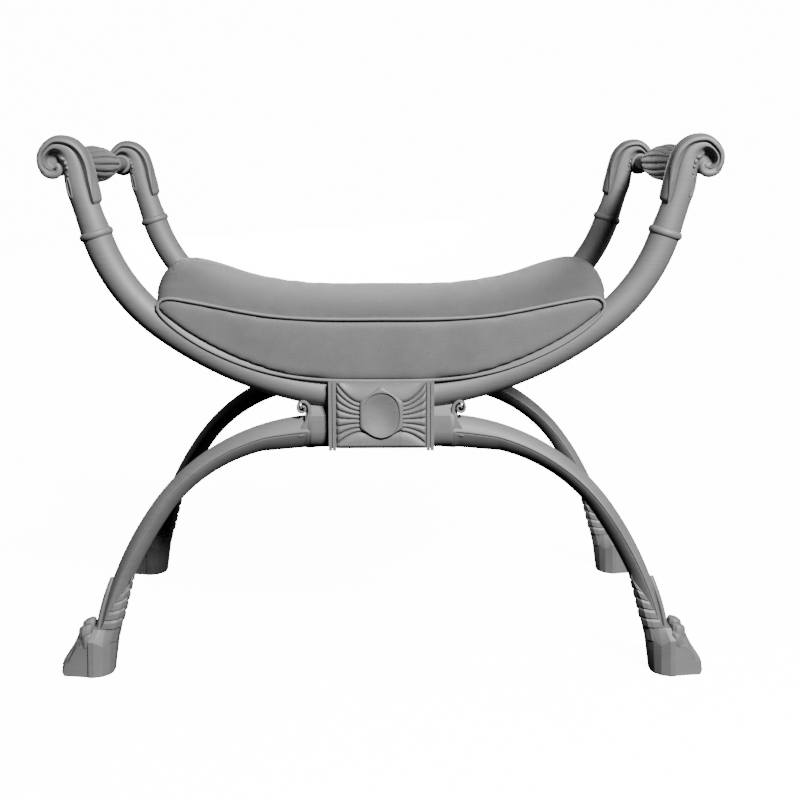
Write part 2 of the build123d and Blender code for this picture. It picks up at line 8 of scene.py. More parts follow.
import bmesh
import bpy
import numpy as np
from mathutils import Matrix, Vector

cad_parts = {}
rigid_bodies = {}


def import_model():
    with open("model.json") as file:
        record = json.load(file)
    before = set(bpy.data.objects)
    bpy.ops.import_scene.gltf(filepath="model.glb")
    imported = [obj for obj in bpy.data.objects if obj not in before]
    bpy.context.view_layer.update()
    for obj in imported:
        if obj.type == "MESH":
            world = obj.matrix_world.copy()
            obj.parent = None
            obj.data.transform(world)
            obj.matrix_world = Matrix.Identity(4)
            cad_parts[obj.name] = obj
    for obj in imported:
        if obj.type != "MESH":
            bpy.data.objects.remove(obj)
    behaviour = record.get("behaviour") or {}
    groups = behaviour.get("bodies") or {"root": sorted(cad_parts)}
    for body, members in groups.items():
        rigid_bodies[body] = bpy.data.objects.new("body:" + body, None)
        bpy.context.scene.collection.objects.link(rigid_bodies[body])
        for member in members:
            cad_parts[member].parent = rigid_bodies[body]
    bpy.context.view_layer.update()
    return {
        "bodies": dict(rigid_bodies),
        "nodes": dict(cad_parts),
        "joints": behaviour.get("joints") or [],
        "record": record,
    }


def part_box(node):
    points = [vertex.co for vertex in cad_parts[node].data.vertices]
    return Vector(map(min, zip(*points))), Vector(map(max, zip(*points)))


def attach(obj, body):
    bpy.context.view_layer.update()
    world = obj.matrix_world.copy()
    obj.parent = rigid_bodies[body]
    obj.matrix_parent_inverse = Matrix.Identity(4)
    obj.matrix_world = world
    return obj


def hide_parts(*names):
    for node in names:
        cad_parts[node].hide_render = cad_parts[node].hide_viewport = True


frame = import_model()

# A curule stool: four carved scroll arms on U-shaped rails, arched legs with paw feet, two
# gadrooned grip bars and a loose saddle cushion.  Meshes are drawn in millimetres, for the
# front right-hand corner, and turned into metres and into the other corners when they are made.

log = logging.getLogger("stool")

MM = 0.001
TINY = 1e-9
SHARP = 35.0
Colour = tuple[float, float, float]
Rows = Sequence[Sequence[float]]
Number = float | np.ndarray


class Hand(Enum):
    """Which side of the sitter a piece is on."""

    LEFT = -1
    RIGHT = 1


class Row(Enum):
    """Which of the two frames a piece belongs to."""

    FRONT = 1
    REAR = -1


class Slot(Enum):
    """Material slots of the record."""

    PAINT = "frame_paint"
    CARVED = "carved_paint"
    BEECH = "plain_beech"
    COVER = "cover_leather"


class Body(Enum):
    """Bodies that pieces ride on."""

    FRAME = "frame"
    CUSHION = "cushion"


# ------------------------------------------------------------------------------ shader maths
class Wire:
    """A number on its way through a material; an expression on wires adds its Math nodes."""

    def __init__(self, recipe: "Recipe", socket: bpy.types.NodeSocket) -> None:
        """Wrap an output socket.

        Args:
            recipe: The material that the socket belongs to.
            socket: The output that carries the number.
        """
        self.recipe = recipe
        self.socket = socket

    def _math(self, operation: str, first: Any, second: Any) -> "Wire":
        """Add a Math node.

        Args:
            operation: Blender's name of the operation.
            first: A wire or a number.
            second: A wire or a number.

        Returns:
            The node's result.
        """
        node = self.recipe.node("ShaderNodeMath", {"operation": operation}, {0: first, 1: second})
        return Wire(self.recipe, node.outputs[0])

    def __add__(self, other: Any) -> "Wire":
        """Sum."""
        return self._math("ADD", self, other)

    def __radd__(self, other: Any) -> "Wire":
        """Sum with a number first."""
        return self._math("ADD", other, self)

    def __sub__(self, other: Any) -> "Wire":
        """Difference."""
        return self._math("SUBTRACT", self, other)

    def __rsub__(self, other: Any) -> "Wire":
        """Difference with a number first."""
        return self._math("SUBTRACT", other, self)

    def __mul__(self, other: Any) -> "Wire":
        """Product."""
        return self._math("MULTIPLY", self, other)

    def __rmul__(self, other: Any) -> "Wire":
        """Product with a number first."""
        return self._math("MULTIPLY", other, self)

    def __pow__(self, other: Any) -> "Wire":
        """Power."""
        return self._math("POWER", self, other)


class Recipe:
    """One material's nodes, built from expressions."""

    def __init__(self, name: str) -> None:
        """Start an empty material.

        Args:
            name: The material's name.
        """
        self.material = bpy.data.materials.new(name)
        self.material.use_nodes = True
        self.tree = self.material.node_tree
        self.tree.nodes.clear()
        self.place = self.node("ShaderNodeTexCoord").outputs["Object"]

    def node(self, kind: str, settings: dict | None = None, inputs: dict | None = None) -> bpy.types.Node:
        """Add any node.

        Args:
            kind: The node's type.
            settings: Its properties, or "stops" for a ramp, set before its sockets.
            inputs: Values, sockets or wires for its inputs, by name or number.

        Returns:
            The new node.
        """
        made = self.tree.nodes.new(kind)
        for name, value in (settings or {}).items():
            if name == "stops":
                self._set_stops(made.color_ramp, value)
            else:
                setattr(made, name, value)
        for name, value in (inputs or {}).items():
            if isinstance(value, Wire):
                value = value.socket
            if isinstance(value, bpy.types.NodeSocket):
                self.tree.links.new(value, made.inputs[name])
            else:
                made.inputs[name].default_value = value
        return made

    @staticmethod
    def _set_stops(ramp: bpy.types.ColorRamp, stops: Sequence[tuple[float, float]]) -> None:
        """Give a ramp its grey stops.

        Args:
            ramp: The ramp to change; it starts with two stops.
            stops: Pairs of position and grey level.
        """
        while len(ramp.elements) < len(stops):
            ramp.elements.new(0.5)
        for element, (position, level) in zip(ramp.elements, stops):
            element.position = position
            element.color = (level, level, level, 1.0)

    def noise(self, scale: float, detail: float, where: Any = None, roughness: float = 0.5) -> Wire:
        """Cloudy variation between 0 and 1.

        Args:
            scale: Clouds per metre.
            detail: Octaves.
            where: Vector socket, the piece's own place if left out.
            roughness: Strength of the finer octaves.

        Returns:
            The noise as a wire.
        """
        inputs = {"Vector": where or self.place, "Scale": scale, "Detail": detail, "Roughness": roughness}
        return Wire(self, self.node("ShaderNodeTexNoise", None, inputs).outputs[0])

    def cells(self, scale: float, feature: str, where: Any = None) -> Wire:
        """Distance in a field of random cells.

        Args:
            scale: Cells per metre.
            feature: Blender's name of the distance.
            where: Vector socket, the piece's own place if left out.

        Returns:
            The distance as a wire.
        """
        inputs = {"Vector": where or self.place, "Scale": scale}
        return Wire(self, self.node("ShaderNodeTexVoronoi", {"feature": feature}, inputs).outputs["Distance"])

    def stretched(self, scale: tuple[float, float, float]) -> bpy.types.NodeSocket:
        """The piece's own place, scaled along each axis.

        Args:
            scale: Factor along X, Y and Z.

        Returns:
            A vector socket.
        """
        return self.node("ShaderNodeMapping", None, {"Vector": self.place, "Scale": scale}).outputs[0]

    def ramp(self, value: Wire, stops: Sequence[tuple[float, float]]) -> Wire:
        """Remap a number through grey stops.

        Args:
            value: The number to remap.
            stops: Pairs of position and result.

        Returns:
            The remapped number.
        """
        node = self.node("ShaderNodeValToRGB", {"stops": stops}, {"Fac": value})
        grey = self.node("ShaderNodeRGBToBW", None, {"Color": node.outputs["Color"]})
        return Wire(self, grey.outputs[0])

    def blend(self, share: Wire, first: Any, second: Any) -> bpy.types.NodeSocket:
        """Mix two colours.

        Args:
            share: How much of the second colour, 0 to 1.
            first: A colour or a colour socket.
            second: A colour or a colour socket.

        Returns:
            The mixed colour's socket.
        """
        ends = [c if isinstance(c, bpy.types.NodeSocket) else (*c, 1.0) for c in (first, second)]
        settings = {"data_type": "RGBA", "clamp_factor": True}
        node = self.node("ShaderNodeMix", settings, {"Factor": share, 6: ends[0], 7: ends[1]})
        return node.outputs[2]

    def bump(self, height: Wire, strength: float, distance: float) -> bpy.types.NodeSocket:
        """Turn a height into a normal.

        Args:
            height: Height, 0 to 1.
            strength: Share of the effect.
            distance: Height in metres that 1 stands for.

        Returns:
            The normal's socket.
        """
        inputs = {"Height": height, "Strength": strength, "Distance": distance}
        return self.node("ShaderNodeBump", None, inputs).outputs[0]

    def surface(self, inputs: dict) -> bpy.types.Material:
        """Close the material with a Principled surface.

        Args:
            inputs: The surface's values, sockets and wires, by name.

        Returns:
            The finished material.
        """
        shader = self.node("ShaderNodeBsdfPrincipled", None, inputs)
        self.node("ShaderNodeOutputMaterial", None, {"Surface": shader.outputs[0]})
        return self.material


# ------------------------------------------------------------------------------ finishes
@dataclass(frozen=True)
class PaintedWood:
    """Satin paint brushed over close-grained wood."""

    name: str
    light: Colour
    dark: Colour
    # paler rubbed edges from wear, and painted shade that darkens the hollows
    edge_wear_and_shade: bool = False
    roughness: float = 0.6
    shine: float = 0.8
    cloud_scale: float = 14.0
    brush_scale: float = 55.0
    pore_scale: float = 620.0

    def material(self) -> bpy.types.Material:
        """Build the material.

        Returns:
            The finished material.
        """
        recipe = Recipe(self.name)
        cloud = recipe.noise(self.cloud_scale, 3.0)
        brush = recipe.noise(self.brush_scale, 5.0, recipe.stretched((1.0, 1.0, 7.0)), 0.62)
        pores = recipe.noise(self.pore_scale, 2.0)
        tone = 0.55 * cloud + 0.45 * brush
        colour = recipe.blend(recipe.ramp(tone, ((0.36, 0.0), (0.66, 1.0))), self.dark, self.light)
        roughness = self.roughness + 0.16 * (brush - 0.5)
        # Convex edges are rubbed paler by wear; concave creases get painted shade, darkened where occlusion
        # shade would fall
        if self.edge_wear_and_shade:
            edge = Wire(recipe, recipe.node("ShaderNodeNewGeometry").outputs["Pointiness"])
            rubbed = recipe.ramp(edge, ((0.515, 0.0), (0.60, 1.0))) * (0.35 + 0.65 * cloud)
            # painted shade: concave creases, found by pointiness, are darkened and made rougher
            crevice_shade = recipe.ramp(edge, ((0.40, 1.0), (0.49, 0.0)))
            pale = tuple(min(1.0, 1.22 * c) for c in self.light)
            # the painted shade colour for the creases
            deep = tuple(0.55 * c for c in self.dark)
            colour = recipe.blend(rubbed * 0.55, colour, pale)
            colour = recipe.blend(crevice_shade * 0.6, colour, deep)
            roughness = roughness + 0.14 * crevice_shade
        height = 0.7 * brush + 0.3 * pores
        return recipe.surface({
            "Base Color": colour,
            "Roughness": roughness,
            "Normal": recipe.bump(height, 0.22, 0.0009),
            "Specular IOR Level": self.shine,
        })


@dataclass(frozen=True)
class BareBeech:
    """Planed beech without paint."""

    name: str
    light: Colour
    dark: Colour
    ring_scale: float = 38.0
    fleck_scale: float = 420.0

    def material(self) -> bpy.types.Material:
        """Build the material.

        Returns:
            The finished material.
        """
        recipe = Recipe(self.name)
        along = recipe.stretched((1.0, 0.07, 1.0))
        rings = recipe.noise(self.ring_scale, 5.0, along, 0.6)
        flecks = recipe.ramp(recipe.noise(self.fleck_scale, 1.0, along), ((0.60, 0.0), (0.72, 1.0)))
        colour = recipe.blend(recipe.ramp(rings, ((0.35, 0.0), (0.65, 1.0))), self.light, self.dark)
        colour = recipe.blend(flecks * 0.5, colour, tuple(0.6 * c for c in self.dark))
        return recipe.surface({
            "Base Color": colour,
            "Roughness": 0.62 + 0.1 * rings,
            "Normal": recipe.bump(rings + 0.4 * flecks, 0.2, 0.0006),
        })


@dataclass(frozen=True)
class SoftLeather:
    """Fine-grained upholstery leather."""

    name: str
    light: Colour
    dark: Colour
    grain_scale: float = 640.0
    crease_scale: float = 24.0
    roughness: float = 0.52

    def material(self) -> bpy.types.Material:
        """Build the material.

        Returns:
            The finished material.
        """
        recipe = Recipe(self.name)
        wander = recipe.noise(90.0, 2.0)
        grain = recipe.cells(self.grain_scale, "F1")
        edges = recipe.cells(0.55 * self.grain_scale, "DISTANCE_TO_EDGE")
        crack = recipe.ramp(edges, ((0.0, 0.0), (0.12, 1.0)))
        cloud = recipe.noise(self.crease_scale, 4.0)
        tone = 0.7 * cloud + 0.3 * wander
        colour = recipe.blend(recipe.ramp(tone, ((0.36, 0.0), (0.64, 1.0))), self.dark, self.light)
        colour = recipe.blend((1 - crack) * 0.28, colour, tuple(0.6 * c for c in self.dark))
        height = 0.45 * (1 - grain) + 0.4 * crack + 0.15 * wander
        return recipe.surface({
            "Base Color": colour,
            "Roughness": self.roughness + 0.12 * (cloud - 0.5) + 0.1 * (1 - crack),
            "Normal": recipe.bump(height, 0.3, 0.0007),
            "Specular IOR Level": 0.3,
        })


# ------------------------------------------------------------------------------ drawing tools
def run_lengths(line: np.ndarray) -> np.ndarray:
    """Distance along a line at each of its points."""
    return np.concatenate(([0.0], np.cumsum(np.linalg.norm(np.diff(line, axis=0), axis=1))))


def spline(rows: Rows, count: int, key: int = 2) -> np.ndarray:
    """Even steps along a smooth line through rows of numbers.

    Args:
        rows: The rows to pass through, each a place followed by any other values.
        count: How many rows to return.
        key: How many leading columns are the place that steps are measured on.

    Returns:
        An array of `count` rows.
    """
    knots = np.array(rows, float)
    at = run_lengths(knots[:, :key])
    steps = np.linalg.norm(np.diff(knots[:, :key], axis=0), axis=1)
    size = len(knots)
    system = np.zeros((size, size))
    target = np.zeros((size, knots.shape[1]))
    system[0, 0] = system[-1, -1] = 1.0
    slopes = np.diff(knots, axis=0) / steps[:, None]
    for i in range(1, size - 1):
        system[i, i - 1:i + 2] = steps[i - 1], 2 * (steps[i - 1] + steps[i]), steps[i]
        target[i] = 6 * (slopes[i] - slopes[i - 1])
    bend = np.linalg.solve(system, target)

    def value(where: np.ndarray) -> np.ndarray:
        """Evaluate the line at distances along its chords."""
        i = np.clip(np.searchsorted(at, where, side="right") - 1, 0, size - 2)
        h = steps[i][:, None]
        a = ((at[i + 1] - where) / steps[i])[:, None]
        b = 1 - a
        lift = ((a ** 3 - a) * bend[i] + (b ** 3 - b) * bend[i + 1]) * h ** 2 / 6
        return a * knots[i] + b * knots[i + 1] + lift

    fine = np.linspace(0, at[-1], 8 * count)
    line = value(fine)
    run = run_lengths(line[:, :key])
    return value(np.interp(np.linspace(0, run[-1], count), run, fine))


def rounded_start(x: Number) -> Number:
    """Quarter circle that rises from 0 at 0 to 1 at 1."""
    x = np.clip(x, 0, 1)
    return np.sqrt(1 - (1 - x) ** 2)


def ease(x: Number) -> Number:
    """Smooth step from 0 at 0 to 1 at 1."""
    x = np.clip(x, 0, 1)
    return x * x * (3 - 2 * x)


def crisp(rows: np.ndarray, share: float = 0.07) -> np.ndarray:
    """Add a point near both ends of every step, so that smooth shading keeps the steps flat.

    Args:
        rows: Points or rings, one after another along the first axis.
        share: Distance of the added points from a step's ends, as a share of the step.

    Returns:
        The longer run.
    """
    first, last = rows[:-1], rows[1:]
    parts = np.stack((first, first + share * (last - first), last - share * (last - first)), axis=1)
    return np.concatenate((parts.reshape(-1, *rows.shape[1:]), rows[-1:]))


def outward(n: np.ndarray, y: np.ndarray, turns: np.ndarray) -> tuple[np.ndarray, np.ndarray]:
    """Directions that point out of a half section.

    Args:
        n: Distance along the section's height, point by point.
        y: Distance from the middle plane.
        turns: The points' turns from the top, in radians.

    Returns:
        The directions' parts along the height and away from the middle plane.
    """
    slope_n, slope_y = np.gradient(n, turns), np.gradient(y, turns)
    length = np.maximum(np.hypot(slope_n, slope_y), TINY)
    return slope_y / length, -slope_n / length


def upright(points: np.ndarray, y: Number) -> np.ndarray:
    """Stand points of a flat drawing upright.

    Args:
        points: Their places along X and Z.
        y: Their place along Y, one for all or one for each.

    Returns:
        The points in x, y, z.
    """
    return np.stack((points[:, 0], np.full(len(points), y), points[:, 1]), axis=1)


def whole_ring(centre: np.ndarray, toward: np.ndarray, n: np.ndarray, y: np.ndarray) -> np.ndarray:
    """Mirror a half section over the middle plane and lay it across its bar.

    Args:
        centre: Where the section's zero lies, in the plane of the frame.
        toward: Direction of the section's height.
        n: Distance along that direction, point by point from one side to the other.
        y: Distance from the middle plane.

    Returns:
        The ring's points, one row each.
    """
    n = np.concatenate((n, n[-2:0:-1]))
    y = np.concatenate((-y, y[-2:0:-1]))
    return upright(centre[None] + n[:, None] * toward[None], y)


def rounding(y: float, radius: float, long: float, high: float, first: float) -> list[tuple[float, float]]:
    """Half turn of a rounding in a turned profile.

    Args:
        y: Place of the rounding's centre along the axis.
        radius: Distance of its centre from the axis.
        long: Half its length along the axis, below zero if the profile runs the other way.
        high: Half its height.
        first: Where it starts, in radians from its highest point.

    Returns:
        Pairs of place and radius.
    """
    turns = np.linspace(first, first + math.pi, 9)
    return [(y + long * math.sin(a), radius + high * math.cos(a)) for a in turns]


class Shape:
    """Points in millimetres, and the faces between them."""

    def __init__(self) -> None:
        """Start empty."""
        self.points: list[np.ndarray] = []
        self.faces: list[tuple[int, ...]] = []
        self.count = 0

    def add(self, points: np.ndarray, faces: Iterable[Sequence[int]]) -> None:
        """Add a closed shell.

        Args:
            points: Its points, one row each.
            faces: Its faces, by row number.
        """
        self.faces += [tuple(i + self.count for i in face) for face in faces]
        self.points.append(np.asarray(points, float))
        self.count += len(points)

    def skin(self, rings: np.ndarray) -> None:
        """Skin a row of closed rings and cap both ends.

        Args:
            rings: Array of rings, points in a ring, and coordinates.
        """
        rows, around = rings.shape[:2]
        ends = rings[[0, -1]].mean(axis=1)
        points = np.concatenate((rings.reshape(-1, 3), ends))
        first, last = rows * around, rows * around + 1
        faces = []
        for j in range(around):
            k = (j + 1) % around
            for i in range(rows - 1):
                here, above = i * around, (i + 1) * around
                faces.append((here + j, here + k, above + k, above + j))
            faces.append((first, k, j))
            faces.append((last, (rows - 1) * around + j, (rows - 1) * around + k))
        self.add(points, faces)

    def tube(self, line: np.ndarray, radii: np.ndarray, around: int = 16, closed: bool = False) -> None:
        """Sweep a round tube along a line.

        Args:
            line: Centre line, one point per row.
            radii: Radius at each point.
            around: Points around the tube.
            closed: Whether the line runs back into its start.
        """
        if closed:
            tangent = np.roll(line, -1, axis=0) - np.roll(line, 1, axis=0)
        else:
            tangent = np.gradient(line, axis=0)
        tangent /= np.linalg.norm(tangent, axis=1)[:, None]
        across = np.cross(tangent, np.array([0.0, 1.0, 0.0]))
        lengths = np.linalg.norm(across, axis=1)
        across[lengths < 1e-6] = (1.0, 0.0, 0.0)
        across /= np.linalg.norm(across, axis=1)[:, None]
        other = np.cross(tangent, across)
        turn = np.linspace(0, 2 * math.pi, around, endpoint=False)
        wheel = np.cos(turn)[None, :, None] * across[:, None] + np.sin(turn)[None, :, None] * other[:, None]
        rings = line[:, None] + wheel * np.asarray(radii)[:, None, None]
        if closed:
            rows = len(line)
            faces = [
                (i * around + j, i * around + (j + 1) % around,
                 (i + 1) % rows * around + (j + 1) % around, (i + 1) % rows * around + j)
                for i in range(rows) for j in range(around)
            ]
            self.add(rings.reshape(-1, 3), faces)
        else:
            self.skin(rings)

    def egg(self, centre: Sequence[float], along: Sequence[float], sizes: Sequence[float]) -> None:
        """Add an ellipsoid.

        Args:
            centre: Its middle.
            along: Direction of its long axis, in the X-Z plane.
            sizes: Half its length, its half width in the X-Z plane and its half depth along Y.
        """
        long, wide, deep = sizes
        direction = np.array(along, float) / np.linalg.norm(along)
        beside = np.array([direction[2], 0.0, -direction[0]])
        lift = np.linspace(-math.pi / 2, math.pi / 2, 14)[1:-1, None, None]
        turn = np.linspace(0, 2 * math.pi, 24, endpoint=False)[:, None]
        wheel = np.cos(turn) * beside * wide + np.sin(turn) * np.array([0.0, deep, 0.0])
        self.skin(np.array(centre) + np.sin(lift) * direction * long + np.cos(lift) * wheel[None])

    def turned(self, profile: Rows, centre: Sequence[float], around: int = 32) -> None:
        """Add a solid turned about an axis along Y.

        Args:
            profile: Pairs of place along Y and radius, from one end to the other.
            centre: X and Z of the axis.
            around: Points around it.
        """
        turn = np.linspace(0, 2 * math.pi, around, endpoint=False)
        rings = [
            [(centre[0] + r * math.cos(a), y, centre[1] + r * math.sin(a)) for a in turn]
            for y, r in profile
        ]
        self.skin(np.array(rings))

    def moved(self, offset: Sequence[float]) -> "Shape":
        """A copy of the shape at another place.

        Args:
            offset: How far it moves along X, Y and Z.

        Returns:
            The copy.
        """
        copy = Shape()
        copy.add(np.concatenate(self.points) + offset, self.faces)
        return copy

    def made(
        self, name: str, hand: Hand = Hand.RIGHT, row: Row = Row.FRONT, sharp: float = SHARP,
    ) -> bpy.types.Object:
        """Turn the shape into an object, for one corner of the stool.

        Args:
            name: The object's name.
            hand: Side of the sitter.
            row: Front or rear frame.
            sharp: Faces that meet at more than this angle, in degrees, keep a sharp edge.

        Returns:
            The new object, in metres.
        """
        points = np.concatenate(self.points) * MM * (hand.value, row.value, 1.0)
        mesh = bpy.data.meshes.new(name)
        mesh.from_pydata(points.tolist(), [], self.faces)
        work = bmesh.new()
        work.from_mesh(mesh)
        bmesh.ops.recalc_face_normals(work, faces=work.faces)
        work.to_mesh(mesh)
        work.free()
        mesh.shade_smooth()
        mesh.set_sharp_from_angle(angle=math.radians(sharp))
        made = bpy.data.objects.new(name, mesh)
        bpy.context.scene.collection.objects.link(made)
        return made


def dress(
    piece: bpy.types.Object, finish: bpy.types.Material, body: Body, nodes: Sequence[str],
) -> None:
    """Give a piece its finish and its place on the frame.

    Args:
        piece: The object.
        finish: Its material.
        body: The body that it rides on.
        nodes: Frame nodes that it replaces.
    """
    piece.data.materials.clear()
    piece.data.materials.append(finish)
    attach(piece, body.value)
    if nodes:
        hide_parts(*nodes)
    log.info("%s: rides on %s, replaces %s", piece.name, body.value, ", ".join(nodes) or "nothing")


def corners() -> Iterable[tuple[Row, Hand, str]]:
    """The stool's four corners.

    Returns:
        Row, hand and the start of the corner's names, for each corner.
    """
    return [(row, hand, f"{row.name.lower()}_{hand.name.lower()}") for row in Row for hand in Hand]


def dress_corners(
    shape: Shape, word: str, node: str, finish: bpy.types.Material, sharp: float = SHARP,
) -> None:
    """Make a corner piece four times and dress it.

    Args:
        shape: The piece at the front right-hand corner.
        word: End of its name.
        node: End of the name of the frame node that it replaces.
        finish: Its material.
        sharp: Angle above which its edges stay sharp, in degrees.
    """
    for row, hand, start in corners():
        piece = shape.made(f"{start}_{word}", hand, row, sharp)
        dress(piece, finish, Body.FRAME, [f"{start}_{node}"])


def dress_rows(shape: Shape, word: str, node: str, finish: bpy.types.Material, sharp: float) -> None:
    """Make a carved piece for the front and the rear block, and dress it.

    Args:
        shape: The front piece.
        word: End of its name.
        node: End of the name of the frame node that it replaces.
        finish: Its material.
        sharp: Angle above which its edges stay sharp, in degrees.
    """
    for row in Row:
        name = row.name.lower()
        piece = shape.made(f"{name}_{word}", Hand.RIGHT, row, sharp)
        dress(piece, finish, Body.FRAME, [f"{name}_{node}"])


def grey(level: float) -> Colour:
    """A colour without hue."""
    return (level, level, level)


def coordinates(mesh: bpy.types.Mesh) -> np.ndarray:
    """A mesh's points, in millimetres."""
    flat = np.empty(len(mesh.vertices) * 3)
    mesh.vertices.foreach_get("co", flat)
    return flat.reshape(-1, 3) / MM


def middle(node: str) -> np.ndarray:
    """Middle of a frame node's box, in millimetres."""
    low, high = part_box(node)
    return (np.array(low) + np.array(high)) / (2 * MM)


# ------------------------------------------------------------------------------ scroll arms
@dataclass
class ScrollArm:
    """Arm that rises from the rail, with an acanthus leaf on its back, and rolls into a volute."""

    finish: bpy.types.Material
    # outer u, v, inner u, v, half depth, squareness, leaf edge from the outer side, hollow of the
    # face, thickness of the leaf; u runs outward and v upward from the middle of the collar
    stations: Rows = (
        (-17.3, 7.5, 18.5, -3.6, 18.7, 2.0, 0.4, 0.0, 0.0),
        (-11.2, 24.4, 23.0, 13.8, 17.9, 2.0, 3.0, 0.0, 0.0),
        (-6.3, 39.0, 27.4, 29.2, 17.2, 2.0, 7.4, 0.0, 3.6),
        (-3.4, 47.5, 30.0, 37.5, 17.0, 2.0, 7.6, 0.0, 5.3),
        (-0.6, 56.5, 33.3, 46.5, 16.8, 2.05, 7.0, 0.0, 6.3),
        (3.0, 67.5, 35.8, 58.6, 16.6, 2.15, 6.2, 0.0, 7.1),
        (6.0, 77.5, 36.9, 69.0, 16.4, 2.3, 5.4, 0.0, 7.8),
        (9.4, 88.0, 37.7, 78.2, 16.2, 2.5, 5.2, 0.0, 8.2),
        (13.2, 98.3, 39.0, 85.5, 16.0, 2.6, 5.8, 0.05, 8.0),
        (18.6, 107.3, 41.0, 90.0, 15.9, 2.7, 6.8, 0.15, 6.6),
        (26.4, 114.2, 43.2, 93.0, 15.8, 2.8, 8.2, 0.30, 5.5),
        (35.8, 117.5, 44.8, 94.8, 15.8, 2.8, 8.6, 0.48, 4.6),
        (45.3, 117.4, 46.6, 95.8, 15.8, 2.8, 8.2, 0.64, 4.2),
        (54.1, 113.2, 48.8, 96.0, 15.8, 2.8, 7.8, 0.74, 4.0),
        (61.0, 106.4, 51.0, 94.8, 15.8, 2.8, 7.0, 0.80, 3.8),
        (65.0, 98.4, 52.6, 92.6, 15.8, 2.8, 6.0, 0.84, 3.6),
        (66.0, 90.6, 53.2, 90.0, 15.8, 2.7, 5.6, 0.86, 3.4),
        (64.4, 83.3, 52.6, 87.6, 15.6, 2.6, 5.2, 0.86, 3.8),
        (60.3, 77.6, 51.2, 86.2, 15.2, 2.5, 4.8, 0.84, 4.6),
        (54.8, 74.4, 49.6, 85.4, 14.6, 2.4, 4.2, 0.80, 5.0),
        (49.2, 74.2, 48.0, 84.6, 13.8, 2.3, 3.6, 0.74, 5.2),
        (44.6, 76.6, 46.8, 83.8, 12.4, 2.2, 3.0, 0.60, 4.2),
    )
    rings: int = 190
    # the leaf: where it starts along the arm's back, and over what length it rises
    leaf_start: float = 33.5
    leaf_rise: float = 4.0
    leaf_dip: float = 0.7
    leaf_slope: float = 2.2
    least_edge: float = 0.03
    # the bead along its rim, which grows along the arm, and the groove beside it
    rim_radius: float = 3.1
    rim_least: float = 0.25
    rim_growth: float = 40.0
    rim_proud: float = 0.5
    groove: float = 1.1
    groove_width: float = 1.5
    # share of the volute's face that stays flat before it sinks to the eye
    face_flat: float = 0.5
    # the volute's last turn, a tube: u, y, v, radius
    snail: Rows = (
        (63.0, -11.0, 84.0, 3.4), (60.6, -11.6, 79.0, 4.5), (56.2, -12.2, 74.8, 5.0),
        (51.0, -12.6, 72.9, 5.1), (45.6, -13.0, 73.0, 5.0), (41.6, -13.4, 75.4, 4.7),
        (40.2, -13.8, 79.2, 4.3), (40.8, -14.3, 82.9, 3.7), (42.8, -14.8, 84.7, 2.9),
        (44.4, -15.0, 83.6, 2.2),
    )
    # the knob in the middle of the last turn: u, y, v, radius
    knob: tuple[float, float, float, float] = (43.4, -16.2, 83.4, 1.7)
    # the web behind the last turn: its places along Y and radii, and its offset from the eye
    web: Rows = ((-1.8, 7.5), (-1.08, 12.5), (1.08, 12.5), (1.8, 7.5))
    web_offset: float = 1.0
    # the cup round the grip bar's neck: its side, the rounding of its rim, and its floor
    cup_side: Rows = ((2.0, 12.6), (15.6, 14.2))
    cup_rim: tuple[float, float, float] = (16.2, 11.4, 3.0)
    cup_floor: Rows = ((12.0, 7.6), (8.0, 4.0))
    # the husk's loop: its ends along the arm, how far in it lies, its half width and its thickness
    husk_at: tuple[float, float] = (48.5, 73.5)
    husk_in: float = 6.4
    husk_half: float = 2.3
    husk_rim: float = 0.9
    husk_proud: float = 0.2
    husk_fullness: float = 1.25
    # its beads: distance along the arm and in from its side, half length, half width, turn in degrees
    husk_beads: Rows = (
        (76.6, 8.0, 1.7, 1.4, 0.0),
        (84.6, 8.2, 2.5, 2.0, 0.0),
        (90.0, 7.6, 3.4, 2.4, 0.0),
        (95.6, 6.0, 3.9, 2.3, -32.0),
    )

    def section(self, row: np.ndarray, from_tip: float) -> np.ndarray:
        """One ring of the arm.

        Args:
            row: A station's values.
            from_tip: Distance past the leaf's tip, along the arm's back.

        Returns:
            The ring's points in u, y, v.
        """
        outer, inner = row[0:2], row[2:4]
        depth, square, edge_in, hollow, thickness = row[4:9]
        half = np.linalg.norm(outer - inner) / 2
        centre, toward = (outer + inner) / 2, (outer - inner) / (2 * half)
        leaf = max(0.0, thickness) * rounded_start(from_tip / self.leaf_rise)
        grown = ease(from_tip / self.rim_growth)
        rim = self.rim_radius * (self.rim_least + (1 - self.rim_least) * grown)
        edge = max(math.acos(np.clip(1 - edge_in / half, -0.9, 1.0)), self.least_edge)
        turns = np.concatenate((
            np.linspace(0, edge, 22, endpoint=False),
            edge + (math.pi - edge) * np.linspace(0, 1, 30) ** 1.25,
        ))
        power = 2 / square
        n = half * np.sign(np.cos(turns)) * np.abs(np.cos(turns)) ** power
        y = depth * np.abs(np.sin(turns)) ** power
        run = run_lengths(np.stack((n, y), axis=1))
        at_edge = np.interp(edge, turns, run)
        out_n, out_y = outward(n, y, turns)
        out_n[0], out_y[0] = 1.0, 0.0
        out_n[-1], out_y[-1] = -1.0, 0.0
        back = at_edge - run
        roll = np.sqrt(np.maximum(rim ** 2 - (back - rim) ** 2, 0)) - rim
        level = (leaf - self.leaf_dip) * ease(back / self.leaf_slope)
        lift = np.where(back > 0, np.maximum(leaf + self.rim_proud + roll, level), 0.0) * (leaf > 0.01)
        lift = np.where(back > 2 * rim, level, lift)
        sunk = self.groove * min(1.0, leaf) * np.exp(-(np.maximum(-back, 0) / self.groove_width) ** 2)
        lift = np.where(back <= 0, -sunk, lift)
        across = np.clip(-back / max(run[-1] - at_edge - depth, 1.0), 0, 1)
        keep = 1 - hollow * ease((across - self.face_flat) / (1 - self.face_flat))
        n, y = n + out_n * lift, (y + out_y * lift) * np.where(back <= 0, keep, 1.0)
        return whole_ring(centre, toward, n, y)

